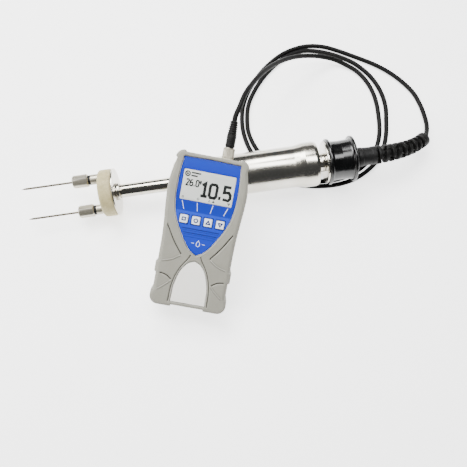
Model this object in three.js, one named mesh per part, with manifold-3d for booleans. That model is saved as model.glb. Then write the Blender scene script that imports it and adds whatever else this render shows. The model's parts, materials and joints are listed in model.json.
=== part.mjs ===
// Wood moisture meter: a handheld meter in a rubber sleeve, its ram-in electrode with a slide
// hammer, and the cable that joins them. Millimetres, +Z up, floor at z = 0. The electrode lies
// along +X with its pins towards -X, and the meter leans on the hammer with its face up.
import * as THREE from 'three';
import { mergeVertices } from 'three/addons/utils/BufferGeometryUtils.js';
import Module from 'manifold-3d';

const wasm = await Module();
wasm.setup();

// Clearances
const touchGap = 0.3;             // between pieces that touch
const runGap = 0.3;               // between a sliding piece and what guides it
const overcut = 1;                // how far a cutter runs past the face it cuts

// Meter, in its own frame: u to the right, v up the face, w out of the face, back at w = 0
const meterHalfLength = 72.3;
const meterThickness = 33;
const baseHalfWidth = 35;         // at the lower end
const waistHalfWidth = 34.8;
const shoulderHalfWidth = 37.5;   // widest, beside the display
const topHalfWidth = 33;
const cornerRadius = 6.5;
const sleeveWall = 2.7;
const sleeveEdge = 4;             // rounding of the sleeve's edges
const padRise = 1.6;              // how far pads, bumpers and ears stand proud
const shellWall = 2.2;
const shellEdge = 1.6;
const splitLevel = meterThickness / 2 + 0.1;      // w of the joint between the shells
const sealThickness = 0.4;
const backWall = 3;
const plateThickness = 1.2;
const windowSize = [49.6, 28.8];
const windowCentre = meterHalfLength - 29.6;      // v
const lcdThickness = 4.2;
const boardThickness = 1.5;
const boardHalfWidth = 26;
const keySize = 7.5;
const keyPitch = 11.5;
const keyRow = meterHalfLength - 61.6;            // v of the keys
const keyProud = 1.2;             // above the face plate
const keyTravel = 0.8;
const stemRadius = 2.2;
const switchSize = 5;
const switchHeight = 2.2;
const bossRadius = 4.2;
const screwRadius = 1.4;
const batteryRadius = 5.25;
const batteryLength = 44.5;
const batteryPitch = 11.2;
const batteryCount = 4;
const batteryTop = -16;           // v of the upper end of the cells
const contactThickness = 0.5;
const doorThickness = 1.4;
const doorTravel = 3;

// Socket and plug, on an axis along v
const socketSide = 13;            // u of the axis
const socketLevel = meterThickness / 2;           // w of the axis
const barrelRadius = 4.2;
const barrelLength = 8;
const socketBore = 3.4;
const shankRadius = 4.7;
const flangeRadius = 6.8;
const flangeThickness = 1.6;
const ringWall = 1.1;
const ringLength = 11.8;
const plugRadius = 4.7;
const plugLength = 12.3;
const bootLength = 12.4;

// Electrode, along its own axis s from the front face of the insulating head
const headRadius = 24.2;
const headThickness = 13.8;
const headEdge = 3.2;
const backPlateThickness = 1.4;
const pinSpacing = 31.4;
const pinRoll = THREE.MathUtils.degToRad(30);
const pinRadius = 1.05;
const pinLength = 68;
const pinReach = 80.3;            // from the head to the pin's tip
const nutFlats = 11.7;
const nutLength = 15.6;
const nutFront = 27;              // from the head to the nut's front
const ringThickness = 2.2;
const collarRadius = 5.2;
const threadRadius = 3.3;
const rodRadius = 6.9;
const rodBore = 4.4;
const leadRadius = 1.5;
const lockCollarRadius = 9;
const lockCollarLength = 3.3;
const hammerFront = 77;           // s of its front end at rest
const hammerLength = 147.4;
const hammerRadius = 21.3;
const hammerFlangeRadius = 23.1;
const hammerFlangeLength = 14.8;
const hammerFlare = 10.4;
const bushWall = 2.6;
const bushLength = 15;
const neckRadius = 9.4;
const neckLength = 7.2;
const washerRadius = 21.5;
const washerThickness = 2.2;
const capBarrelRadius = 20.6;
const capFlangeRadius = 23.7;
const capFlangeWidth = 3.3;
const capLength = 28.2;
const glandRadius = 11.7;
const glandLength = 4.4;
const glandSleeveRadius = 10.1;
const glandSleeveLength = 18.9;
const reliefCore = 5.8;
const reliefRibs = 9;
const reliefRibRadius = [9.7, 7.7];
const reliefRibWidth = 3.3;

// How the pieces lie
const rise = THREE.MathUtils.degToRad(1.35);    // of the electrode, over the cable that runs under it
const lean = THREE.MathUtils.degToRad(22);      // of the meter, about the hammer's axis
const yaw = THREE.MathUtils.degToRad(18.7);     // of the meter, in the plane of its back
const leanStation = 112.8;                      // s where the meter's middle crosses the hammer
const leanGap = 0.6;

// Cable
const cableRadius = 2.5;
const cableSides = 10;
const cableSteps = 84;
const cableStub = 4;              // straight length at each end
const tailPoints = 12;            // of the route, which leave the floor for the plug

function solidOf(geometry) {
  const bare = geometry.clone();
  bare.deleteAttribute('normal');
  bare.deleteAttribute('uv');
  const merged = mergeVertices(bare, 1e-4);
  const index = merged.index.array;
  const kept = [];
  for (let i = 0; i < index.length; i += 3) {
    const corners = [index[i], index[i + 1], index[i + 2]];
    if (new Set(corners).size === 3) kept.push(...corners);
  }
  return new wasm.Manifold(new wasm.Mesh({
    numProp: 3,
    vertProperties: Float32Array.from(merged.attributes.position.array),
    triVerts: Uint32Array.from(kept),
  }));
}

function geometryOf(solid) {
  const mesh = solid.getMesh();
  const geometry = new THREE.BufferGeometry();
  geometry.setAttribute('position', new THREE.BufferAttribute(Float32Array.from(mesh.vertProperties), 3));
  geometry.setIndex(new THREE.BufferAttribute(Uint32Array.from(mesh.triVerts), 1));
  geometry.computeVertexNormals();
  return geometry;
}

function join(first, ...rest) {
  return rest.reduce((whole, piece) => whole.add(piece), first);
}

function cut(first, ...cutters) {
  return cutters.reduce((whole, cutter) => whole.subtract(cutter), first);
}

function block(u0, u1, v0, v1, w0, w1) {
  const geometry = new THREE.BoxGeometry(u1 - u0, v1 - v0, w1 - w0);
  return solidOf(geometry.translate((u0 + u1) / 2, (v0 + v1) / 2, (w0 + w1) / 2));
}

// A closed outline from the points of its right half, bottom to top, grown outwards all round
function outline(half, grow = 0) {
  const left = half.slice(1, -1).reverse().map(([u, v]) => [-u, v]);
  const loop = [...half, ...left].map(([u, v]) => new THREE.Vector2(u, v));
  const grown = loop.map((point, i) => {
    const before = point.clone().sub(loop.at(i - 1)).normalize();
    const after = loop[(i + 1) % loop.length].clone().sub(point).normalize();
    const out = new THREE.Vector2(before.y + after.y, -before.x - after.x).normalize();
    return point.clone().addScaledVector(out, grow / (out.x * before.y - out.y * before.x));
  });
  return new THREE.Shape(grown);
}

function arc(centre, radius, from, to, steps) {
  return Array.from({ length: steps + 1 }, (_, i) => {
    const angle = THREE.MathUtils.degToRad(from + (to - from) * i / steps);
    return [centre[0] + radius * Math.cos(angle), centre[1] + radius * Math.sin(angle)];
  });
}

function spline(points, steps) {
  const curve = new THREE.SplineCurve(points.map(([u, v]) => new THREE.Vector2(u, v)));
  return curve.getPoints(steps).map((point) => [point.x, point.y]);
}

function slab(shape, w0, w1, edge = 0) {
  const geometry = new THREE.ExtrudeGeometry(shape, {
    depth: w1 - w0 - 2 * edge,
    bevelEnabled: edge > 0,
    bevelThickness: edge,
    bevelSize: edge,
    bevelOffset: -edge,
    bevelSegments: 2,
  });
  return solidOf(geometry.translate(0, 0, w0 + edge));
}

// A turned piece about the X axis, from [s, radius] points; a ring's points close on themselves
function turned(profile, sides = 24) {
  const points = profile.map(([s, radius]) => new THREE.Vector2(radius, s));
  return solidOf(new THREE.LatheGeometry(points, sides).rotateZ(-Math.PI / 2));
}

function rod(s0, s1, radius, sides = 24) {
  return turned([[s0, 0], [s0, radius], [s1, radius], [s1, 0]], sides);
}

function tube(s0, s1, outer, inner, sides = 24) {
  return turned([[s0, inner], [s0, outer], [s1, outer], [s1, inner], [s0, inner]], sides);
}

// From the X axis to an axis along v at the socket, and to an axis along w at [u, v]
function onSocket(solid) {
  return solid.rotate([0, 0, 90]).translate([socketSide, 0, socketLevel]);
}

function upright(solid, u, v) {
  return solid.rotate([0, -90, 0]).translate([u, v, 0]);
}

const finishes = {
  rubber: { color: 0xb5b2aa, roughness: 0.75, metalness: 0 },
  shell: { color: 0xf6f2e8, roughness: 0.5, metalness: 0 },
  blue: { color: 0x3c68d8, roughness: 0.4, metalness: 0 },
  glass: { color: 0xd5d7d2, roughness: 0.1, metalness: 0 },
  key: { color: 0xf1f2f6, roughness: 0.45, metalness: 0 },
  board: { color: 0x2c6b46, roughness: 0.6, metalness: 0 },
  dark: { color: 0x161514, roughness: 0.45, metalness: 0 },
  steel: { color: 0xb9b6ae, roughness: 0.3, metalness: 1 },
  head: { color: 0xc6bea0, roughness: 0.6, metalness: 0 },
  cell: { color: 0x8e9196, roughness: 0.4, metalness: 0.5 },
  bronze: { color: 0xa98350, roughness: 0.4, metalness: 1 },
};

function addPiece(parent, name, solid, finish) {
  const mesh = new THREE.Mesh(geometryOf(solid), new THREE.MeshStandardMaterial(finishes[finish]));
  mesh.name = name;
  parent.add(mesh);
  return mesh;
}

// ---- Outlines of the meter

const meterHalf = [
  [0, -meterHalfLength],
  ...arc([baseHalfWidth - cornerRadius, cornerRadius - meterHalfLength], cornerRadius, -90, 0, 3),
  ...spline([
    [waistHalfWidth, -30],
    [waistHalfWidth + 0.2, -4],
    [shoulderHalfWidth - 0.2, 30],
    [shoulderHalfWidth, 42],
    [topHalfWidth + 2.4, 57],
  ], 8),
  ...arc([topHalfWidth - cornerRadius, meterHalfLength - cornerRadius], cornerRadius, 0, 90, 3),
  [0, meterHalfLength],
];

const shieldTop = meterHalfLength - 4.3;
const shieldHalf = [
  ...spline([[0, -21.7], [5.6, -18.6], [11.5, -12], [18.9, 0], [24.6, 12], [27.7, 26], [28.4, 40]], 11),
  [27.8, 54],
  [26.4, shieldTop],
  [0, shieldTop + 0.6],
];

const archFoot = 3.7 - meterHalfLength;
const archHalf = [
  [0, archFoot],
  [16.3, archFoot],
  ...spline([[15.9, -54], [13.7, -44], [10.4, -36], [5.6, -30], [0, -27.8]], 8),
];

const windowHalf = windowSize.map((size) => size / 2);
const keyPlaces = [-1.5, -0.5, 0.5, 1.5].map((step) => step * keyPitch);
const frontFace = meterThickness - sleeveWall - touchGap;      // w of the front shell's face
const lcdTop = frontFace - shellWall - 0.2;
const boardTop = lcdTop - lcdThickness - touchGap;
const boardLevel = boardTop - boardThickness;                  // w of the board's back
const innerGrow = -sleeveWall - touchGap;
const hollowGrow = innerGrow - shellWall;
const wallInside = meterHalfLength + hollowGrow;               // v of the end wall's inner face
const bossPlaces = [
  [25, wallInside - bossRadius - 0.4],
  [27, -wallInside + bossRadius + 1.4],
].flatMap(([u, v]) => [[u, v], [-u, v]]);
const batteryFoot = batteryTop - batteryLength;
const doorOpening = [22.9, batteryFoot - 1.3, batteryTop + 1.2];
const doorEdge = 2.5;
const doorLow = doorOpening[1] - 1.8;
const doorHigh = doorOpening[2] + 1.8;
const doorHalfWidth = doorOpening[0] + doorEdge;
const shellBack = sleeveWall + touchGap;                       // w of the back shell's face

function buildSleeve() {
  const core = slab(outline(meterHalf), 0, meterThickness, sleeveEdge);
  const proud = slab(outline(meterHalf, padRise), 0, meterThickness, sleeveEdge);
  const far = shoulderHalfWidth * 2;
  const end = meterHalfLength * 2;
  const keep = join(
    block(-far, far, -43.4, -33, -overcut, meterThickness + overcut),
    block(15.6, far, -end, -60, -overcut, meterThickness + overcut),
    block(-far, -15.6, -end, -60, -overcut, meterThickness + overcut),
    block(26.3, far, 66, end, -overcut, meterThickness + overcut),
    block(-far, -26.3, 66, end, -overcut, meterThickness + overcut),
  );
  return cut(
    core.add(proud.intersect(keep)),
    slab(outline(meterHalf, -sleeveWall), sleeveWall, meterThickness - sleeveWall, shellEdge),
    slab(outline(shieldHalf, 0.6), meterThickness - sleeveWall - overcut, meterThickness + overcut),
    slab(outline(archHalf, 0.5), meterThickness - sleeveWall - overcut, meterThickness + overcut),
    block(-doorHalfWidth - 1.5, doorHalfWidth + 1.5, doorLow - doorTravel, doorHigh + 2,
      -overcut, sleeveWall + overcut),
    onSocket(rod(meterHalfLength - 2 * sleeveWall, meterHalfLength + 2 * padRise,
      flangeRadius + 1.4, 20)),
  );
}

function buildHousing() {
  const body = slab(outline(meterHalf, innerGrow), shellBack, frontFace, shellEdge);
  const hollow = slab(outline(meterHalf, hollowGrow), shellBack + backWall, frontFace - shellWall);
  return cut(body, hollow, onSocket(rod(meterHalfLength - 12, meterHalfLength, shankRadius + touchGap, 20)));
}

const housing = buildHousing();
const sealHalf = sealThickness / 2 + touchGap;

function buildFrontShell() {
  const half = housing.intersect(
    block(-60, 60, -100, 100, splitLevel + sealHalf, meterThickness + overcut));
  const pillars = bossPlaces.map(([u, v]) =>
    upright(rod(splitLevel + 2 * touchGap, frontFace - shellWall / 2, bossRadius - 0.8, 16), u, v));
  const pilots = bossPlaces.map(([u, v]) =>
    upright(rod(splitLevel, frontFace - shellWall - 1, screwRadius + touchGap, 12), u, v));
  const stems = keyPlaces.map((u) =>
    upright(rod(frontFace - shellWall - overcut, frontFace + overcut, stemRadius + 0.4, 16), u, keyRow));
  const opening = block(-windowHalf[0] + 1.2, windowHalf[0] - 1.2, windowCentre - windowHalf[1] + 1.2,
    windowCentre + windowHalf[1] - 1.2, frontFace - shellWall - overcut, frontFace + overcut);
  const arch = slab(outline(archHalf), frontFace - shellWall / 2, meterThickness - 0.5);
  return cut(join(half, arch, ...pillars), opening, ...pilots, ...stems);
}

function buildBackShell() {
  const half = housing.intersect(block(-60, 60, -100, 100, 0, splitLevel - sealHalf));
  const bosses = bossPlaces.map(([u, v]) =>
    upright(rod(shellBack + backWall / 2, splitLevel - 2 * touchGap, bossRadius, 16), u, v));
  const bores = bossPlaces.map(([u, v]) =>
    upright(rod(shellBack - overcut, splitLevel + overcut, screwRadius + touchGap, 12), u, v));
  const sinks = bossPlaces.map(([u, v]) =>
    upright(rod(shellBack - overcut, shellBack + backWall + 1.4, screwRadius * 2 + touchGap, 16), u, v));
  const opening = block(-doorOpening[0], doorOpening[0], doorOpening[1], doorOpening[2],
    shellBack - overcut, shellBack + backWall + overcut);
  const recess = block(-doorHalfWidth - runGap, doorHalfWidth + runGap, doorLow - doorTravel - runGap,
    doorHigh + runGap, shellBack - overcut, shellBack + doorThickness + 2 * runGap);
  return cut(join(half, ...bosses), opening, recess, ...bores, ...sinks);
}

function buildScrew([u, v]) {
  const headLow = shellBack + backWall - 1.2;
  const headHigh = shellBack + backWall + 1.4 - touchGap;
  const tip = frontFace - shellWall - 1.6;
  return upright(turned([
    [headLow, 0], [headLow, screwRadius * 2], [headHigh, screwRadius * 2], [headHigh, screwRadius],
    [tip - 1, screwRadius], [tip, 0.5], [tip, 0],
  ], 12), u, v);
}

function buildDoor() {
  const low = shellBack + runGap;
  const plate = block(-doorHalfWidth, doorHalfWidth, doorLow, doorHigh, low, low + doorThickness);
  const grips = [0, 1, 2, 3, 4].map((step) =>
    block(-9, 9, doorLow + 6 + step * 2.4, doorLow + 7.2 + step * 2.4, low - overcut, low + 0.5));
  return cut(plate, ...grips);
}

function buildFacePlate() {
  const low = frontFace + touchGap;
  const holes = keyPlaces.map((u) => {
    const half = keySize / 2 + 0.35;
    return block(u - half, u + half, keyRow - half, keyRow + half, low - overcut, low + 3);
  });
  const opening = block(-windowHalf[0], windowHalf[0], windowCentre - windowHalf[1],
    windowCentre + windowHalf[1], low - overcut, low + 3);
  return cut(slab(outline(shieldHalf), low, low + plateThickness), opening, ...holes);
}

function buildKey(u) {
  const plateTop = frontFace + touchGap + plateThickness;
  const padLow = frontFace + keyTravel + 0.2;
  const stemLow = boardTop + touchGap + switchHeight + keyTravel + 0.2;
  const half = keySize / 2;
  const square = new THREE.Shape([[-half, -half], [half, -half], [half, half], [-half, half]].map(
    ([a, b]) => new THREE.Vector2(u + a, keyRow + b)));
  return slab(square, padLow, plateTop + keyProud, 0.4).add(
    upright(rod(stemLow, padLow + 0.3, stemRadius, 16), u, keyRow));
}

const faceTop = frontFace + touchGap + plateThickness;
const meter = new THREE.Group();
const sleeve = addPiece(meter, 'protective_sleeve', buildSleeve(), 'rubber');
addPiece(meter, 'front_shell', buildFrontShell(), 'shell');
addPiece(meter, 'back_shell', buildBackShell(), 'shell');
addPiece(meter, 'housing_seal', cut(
  slab(outline(meterHalf, innerGrow - 0.5), splitLevel - sealThickness / 2, splitLevel + sealThickness / 2),
  slab(outline(meterHalf, hollowGrow + 0.5), splitLevel - overcut, splitLevel + overcut),
  onSocket(rod(meterHalfLength - 12, meterHalfLength, shankRadius + 2 * touchGap, 20)),
), 'dark');
addPiece(meter, 'battery_door', buildDoor(), 'shell');
bossPlaces.forEach((place, i) => addPiece(meter, `housing_screw_${i + 1}`, buildScrew(place), 'steel'));
addPiece(meter, 'face_plate', buildFacePlate(), 'blue');
addPiece(meter, 'display_window', block(
  -windowHalf[0] + touchGap, windowHalf[0] - touchGap, windowCentre - windowHalf[1] + touchGap,
  windowCentre + windowHalf[1] - touchGap, frontFace + touchGap, faceTop - 0.2,
), 'glass');
addPiece(meter, 'lcd_module', block(
  -boardHalfWidth, boardHalfWidth, windowCentre - windowHalf[1] - 1, windowCentre + windowHalf[1] + 1,
  boardTop + touchGap, lcdTop,
), 'glass');
addPiece(meter, 'main_board', block(
  -boardHalfWidth, boardHalfWidth, batteryTop + 2, windowCentre + windowHalf[1] + 1,
  boardLevel, boardTop,
), 'board');
['key_select', 'key_power', 'key_up', 'key_down'].forEach((name, i) => {
  const u = keyPlaces[i];
  addPiece(meter, name, buildKey(u), 'key');
  addPiece(meter, `${name}_switch`, block(
    u - switchSize / 2, u + switchSize / 2, keyRow - switchSize / 2, keyRow + switchSize / 2,
    boardTop + touchGap, boardTop + touchGap + switchHeight,
  ), 'dark');
});

// Battery cells, side by side over the door, and the contact strips at their ends
const cellLevel = shellBack + backWall + touchGap + batteryRadius;
for (let i = 0; i < batteryCount; i += 1) {
  const u = (i - (batteryCount - 1) / 2) * batteryPitch;
  const cell = turned([
    [batteryFoot, 0], [batteryFoot, batteryRadius], [batteryTop - 1.2, batteryRadius],
    [batteryTop - 1.2, 1.9], [batteryTop, 1.9], [batteryTop, 0],
  ], 12);
  addPiece(meter, `battery_${i + 1}`, cell.rotate([0, 0, 90]).translate([u, 0, cellLevel]), 'cell');
}
const stripHalf = batteryCount * batteryPitch / 2 - 0.5;
[['contact_strip_low', batteryFoot - touchGap - contactThickness], ['contact_strip_high', batteryTop + touchGap]]
  .forEach(([name, v]) => addPiece(meter, name, block(
    -stripHalf, stripHalf, v, v + contactThickness, cellLevel - batteryRadius + 1, cellLevel + batteryRadius,
  ), 'bronze'));

// Panel socket and the plug screwed on it
const panel = meterHalfLength + innerGrow;                     // v of the housing's end face
const flangeTop = panel + touchGap + flangeThickness;
const barrelTop = flangeTop + barrelLength;
const ringLow = flangeTop + 0.5;
const ringTop = ringLow + ringLength;
const plugLow = ringTop + 0.7;
const plugTop = plugLow + plugLength;
const bootLow = plugTop + touchGap;
const bootTop = bootLow + bootLength;
const ringBore = barrelRadius + touchGap;
addPiece(meter, 'panel_socket', onSocket(turned([
  [panel - 9, 0], [panel - 9, shankRadius], [panel + touchGap, shankRadius],
  [panel + touchGap, flangeRadius], [flangeTop, flangeRadius], [flangeTop, barrelRadius],
  [barrelTop, barrelRadius], [barrelTop, socketBore], [flangeTop + 2, socketBore], [flangeTop + 2, 0],
], 20)), 'steel');
const socketNutTop = panel - shellWall - touchGap;
addPiece(meter, 'socket_nut', onSocket(
  rod(socketNutTop - 2.1, socketNutTop, flangeRadius, 6).subtract(
    rod(socketNutTop - 2.1 - overcut, socketNutTop + overcut, shankRadius + touchGap)),
), 'steel');
addPiece(meter, 'plug_ring', onSocket(tube(ringLow, ringTop, ringBore + ringWall, ringBore, 24)), 'steel');
addPiece(meter, 'plug_insert', onSocket(turned([
  [flangeTop + 2.3, 0], [flangeTop + 2.3, socketBore - touchGap], [barrelTop + touchGap, socketBore - touchGap],
  [barrelTop + touchGap, barrelRadius], [ringTop + 0.4, barrelRadius], [ringTop + 0.4, 0],
], 20)), 'dark');
addPiece(meter, 'plug_barrel', onSocket(turned([
  [plugLow, 0], [plugLow, plugRadius], [plugTop - 1, plugRadius], [plugTop, plugRadius - 0.5], [plugTop, 0],
], 20)), 'dark');
const bootProfile = [[bootLow, 0], [bootLow, plugRadius - 0.4]];
for (let i = 0; i < 4; i += 1) {
  const start = bootLow + 1.8 + i * 2.5;
  const ribRadius = plugRadius - 0.5 - i * 0.3;
  bootProfile.push([start, ribRadius], [start + 0.3, ribRadius - 0.7]);
  bootProfile.push([start + 1.2, ribRadius - 0.75], [start + 1.5, ribRadius - 0.2]);
}
bootProfile.push([bootTop, cableRadius + 0.8], [bootTop, 0]);
addPiece(meter, 'plug_boot', onSocket(turned(bootProfile, 14)), 'dark');

// ---- Electrode

const electrode = new THREE.Group();
const headBack = headThickness + touchGap;
const plateBack = headBack + backPlateThickness;
const studDepth = 9;
const rodStart = 4;
const nutBack = nutFront - nutLength;
const neckStart = hammerFront + hammerLength;
const washerStart = neckStart + neckLength;
const capStart = washerStart + washerThickness;
const capEnd = capStart + capLength;
const glandStart = capEnd + touchGap;
const sleeveStart = glandStart + glandLength + touchGap;
const reliefStart = sleeveStart + glandSleeveLength + touchGap;
const rodEnd = capStart + capLength * 0.6;
const rodHole = rodRadius + touchGap;

function atPin(solid, side) {
  const y = side * Math.cos(pinRoll) * pinSpacing / 2;
  const z = side * Math.sin(pinRoll) * pinSpacing / 2;
  return solid.translate([0, y, z]);
}

const pinSides = { rear: 1, front: -1 };
for (const [place, side] of Object.entries(pinSides)) {
  addPiece(electrode, `${place}_pin`, atPin(turned([
    [-pinReach, 0], [-pinReach + 4, pinRadius], [-pinReach + pinLength, pinRadius],
    [-pinReach + pinLength, 0],
  ], 12), side), 'steel');
  const hexRadius = nutFlats / Math.sqrt(3);
  const hex = rod(-nutFront, -nutBack, hexRadius, 6);
  const bevel = turned([
    [-nutFront, 0], [-nutFront, nutFlats / 2 - 0.4], [-nutFront + 1.2, hexRadius + 0.2],
    [-nutBack - 0.8, hexRadius + 0.2], [-nutBack, nutFlats / 2], [-nutBack, 0],
  ]);
  const bores = join(
    rod(-nutFront - overcut, -nutBack, pinRadius + touchGap, 16),
    rod(-nutFront + 3.6, -nutBack + overcut, threadRadius + touchGap, 24),
  );
  addPiece(electrode, `${place}_cap_nut`, atPin(hex.intersect(bevel).subtract(bores), side), 'steel');
  addPiece(electrode, `${place}_sealing_ring`, atPin(tube(
    -nutBack + touchGap, -nutBack + touchGap + ringThickness, collarRadius - 0.2, threadRadius + touchGap, 24,
  ), side), 'dark');
  const collarFront = -nutBack + 2 * touchGap + ringThickness;
  const tip = -nutFront + 4;
  addPiece(electrode, `${place}_stud`, atPin(turned([
    [tip, pinRadius + touchGap], [tip, threadRadius], [collarFront, threadRadius],
    [collarFront, collarRadius], [-touchGap, collarRadius], [-touchGap, threadRadius],
    [studDepth, threadRadius], [studDepth, 0], [-pinReach + pinLength + touchGap, 0],
    [-pinReach + pinLength + touchGap, pinRadius + touchGap], [tip, pinRadius + touchGap],
  ], 24), side), 'steel');
}
const pinHoles = Object.values(pinSides).map((side) =>
  atPin(rod(-overcut, studDepth + 1, threadRadius + touchGap), side));

addPiece(electrode, 'insulating_head', cut(
  turned([
    [0, 0], ...arc([headEdge, headRadius - headEdge], headEdge, 180, 90, 3), [headThickness - 0.5, headRadius],
    [headThickness, headRadius - 0.5], [headThickness, 0],
  ], 36),
  rod(rodStart - touchGap, headThickness + overcut, rodHole),
  ...pinHoles,
), 'head');
addPiece(electrode, 'head_back_plate', tube(headBack, plateBack, headRadius - 0.2, rodHole, 36), 'steel');
addPiece(electrode, 'lock_collar', tube(
  plateBack + touchGap, plateBack + lockCollarLength, lockCollarRadius, rodHole,
), 'steel');
addPiece(electrode, 'rod_tube', tube(rodStart, rodEnd, rodRadius, rodBore), 'steel');
addPiece(electrode, 'inner_lead', rod(rodStart + 2, reliefStart - 4, leadRadius, 10), 'dark');

const bushRadius = rodHole + bushWall;
const hammerBore = bushRadius + touchGap;
addPiece(electrode, 'slide_hammer', turned([
  [hammerFront, hammerBore], [hammerFront, hammerRadius - 1.2], [hammerFront + 1.2, hammerRadius],
  [neckStart - hammerFlangeLength - hammerFlare, hammerRadius],
  [neckStart - hammerFlangeLength - hammerFlare / 2, hammerRadius + 0.5],
  [neckStart - hammerFlangeLength, hammerFlangeRadius], [neckStart - 4, hammerFlangeRadius],
  [neckStart - 1.2, hammerFlangeRadius - 1], [neckStart - touchGap, hammerFlangeRadius - 3],
  [neckStart - touchGap, hammerBore], [hammerFront, hammerBore],
], 36), 'steel');
addPiece(electrode, 'front_bush', tube(hammerFront + 1, hammerFront + 1 + bushLength, bushRadius, rodHole), 'bronze');
addPiece(electrode, 'rear_bush', tube(neckStart - 1 - bushLength, neckStart - 1, bushRadius, rodHole), 'bronze');
addPiece(electrode, 'stop_collar', tube(neckStart, washerStart - touchGap, neckRadius, rodHole), 'steel');
addPiece(electrode, 'end_washer', tube(washerStart, capStart - touchGap, washerRadius, rodHole, 32), 'steel');
addPiece(electrode, 'end_cap', cut(
  turned([
    [capStart, 0], [capStart, capFlangeRadius - 1], [capStart + 1, capFlangeRadius],
    [capStart + capFlangeWidth - 1, capFlangeRadius], [capStart + capFlangeWidth, capFlangeRadius - 1],
    [capStart + capFlangeWidth + 1, capBarrelRadius], [capEnd - capFlangeWidth - 1, capBarrelRadius],
    [capEnd - capFlangeWidth, capFlangeRadius - 1], [capEnd - capFlangeWidth + 1, capFlangeRadius],
    [capEnd - 1, capFlangeRadius], [capEnd, capFlangeRadius - 1], [capEnd, 0],
  ], 32),
  rod(capStart - overcut, rodEnd + 0.5, rodHole),
  rod(capStart, capEnd + overcut, rodBore, 20),
), 'dark');
addPiece(electrode, 'gland_nut', tube(glandStart, glandStart + glandLength, glandRadius, rodBore), 'dark');
addPiece(electrode, 'gland_sleeve', turned([
  [sleeveStart, rodBore], [sleeveStart, glandSleeveRadius], [sleeveStart + glandSleeveLength, glandSleeveRadius - 0.6],
  [sleeveStart + glandSleeveLength, rodBore], [sleeveStart, rodBore],
]), 'dark');

// The strain relief bends down and back under the pull of the cable
const reliefPath = new THREE.CubicBezierCurve3(
  new THREE.Vector3(reliefStart, 0, 0),
  new THREE.Vector3(reliefStart + 20, 0, 0),
  new THREE.Vector3(reliefStart + 45, 5, -8),
  new THREE.Vector3(reliefStart + 60, 17, -15),
);
const reliefLength = reliefPath.getLength();
const reliefFirstRib = 0.03;      // as a share of the length
const turnFromY = new THREE.Quaternion();
const reliefDiscs = [];
for (let i = 0; i <= reliefRibs; i += 1) {
  const width = i === reliefRibs ? 2 * reliefRibWidth : reliefRibWidth;
  const t = reliefFirstRib + (1 - reliefFirstRib - (2 * reliefRibWidth + touchGap) / reliefLength) * i / reliefRibs;
  const radius = THREE.MathUtils.lerp(reliefRibRadius[0], reliefRibRadius[1], i / reliefRibs);
  const disc = new THREE.CylinderGeometry(radius, radius, width, 14).translate(0, width / 2, 0);
  turnFromY.setFromUnitVectors(new THREE.Vector3(0, 1, 0), reliefPath.getTangentAt(t));
  const place = reliefPath.getPointAt(t);
  reliefDiscs.push(solidOf(disc.applyQuaternion(turnFromY).translate(place.x, place.y, place.z)));
}
const reliefSection = new THREE.Shape(
  arc([0, 0], reliefCore, 0, 315, 7).map(([a, b]) => new THREE.Vector2(a, b)));
const reliefBody = new THREE.ExtrudeGeometry(reliefSection, { steps: 8, extrudePath: reliefPath, bevelEnabled: false });
addPiece(electrode, 'strain_relief', join(solidOf(reliefBody), ...reliefDiscs), 'dark');

// ---- Laying the pieces down

const instrument = new THREE.Group();
instrument.add(electrode, meter);
electrode.rotation.y = -rise;
electrode.position.z = headRadius * Math.cos(rise) - headEdge * Math.sin(rise) + 0.02;

// The meter's back touches the hammer along a line, and its lowest corner the floor
const turn = new THREE.Matrix4().makeRotationY(-rise)
  .multiply(new THREE.Matrix4().makeRotationX(lean))
  .multiply(new THREE.Matrix4().makeRotationZ(-yaw));
meter.quaternion.setFromRotationMatrix(turn);
const outward = new THREE.Vector3(0, 0, 1).applyMatrix4(turn);
const upFace = new THREE.Vector3(0, 1, 0).applyMatrix4(turn);
electrode.updateMatrixWorld(true);
const contact = new THREE.Vector3(leanStation, 0, 0).applyMatrix4(electrode.matrixWorld)
  .addScaledVector(outward, hammerRadius + leanGap);
meter.updateMatrixWorld(true);
const lowest = new THREE.Box3().setFromObject(sleeve, true).min.z;
const contactLevel = (contact.z + lowest) / upFace.z;          // v where the meter meets the hammer
meter.position.copy(contact).addScaledVector(upFace, -contactLevel);

// ---- Cable, from the strain relief twice round on the floor, under the hammer, and up to the plug

function pointIn(parent, x, y, z) {
  return new THREE.Vector3(x, y, z).applyMatrix4(parent.matrixWorld);
}

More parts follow.
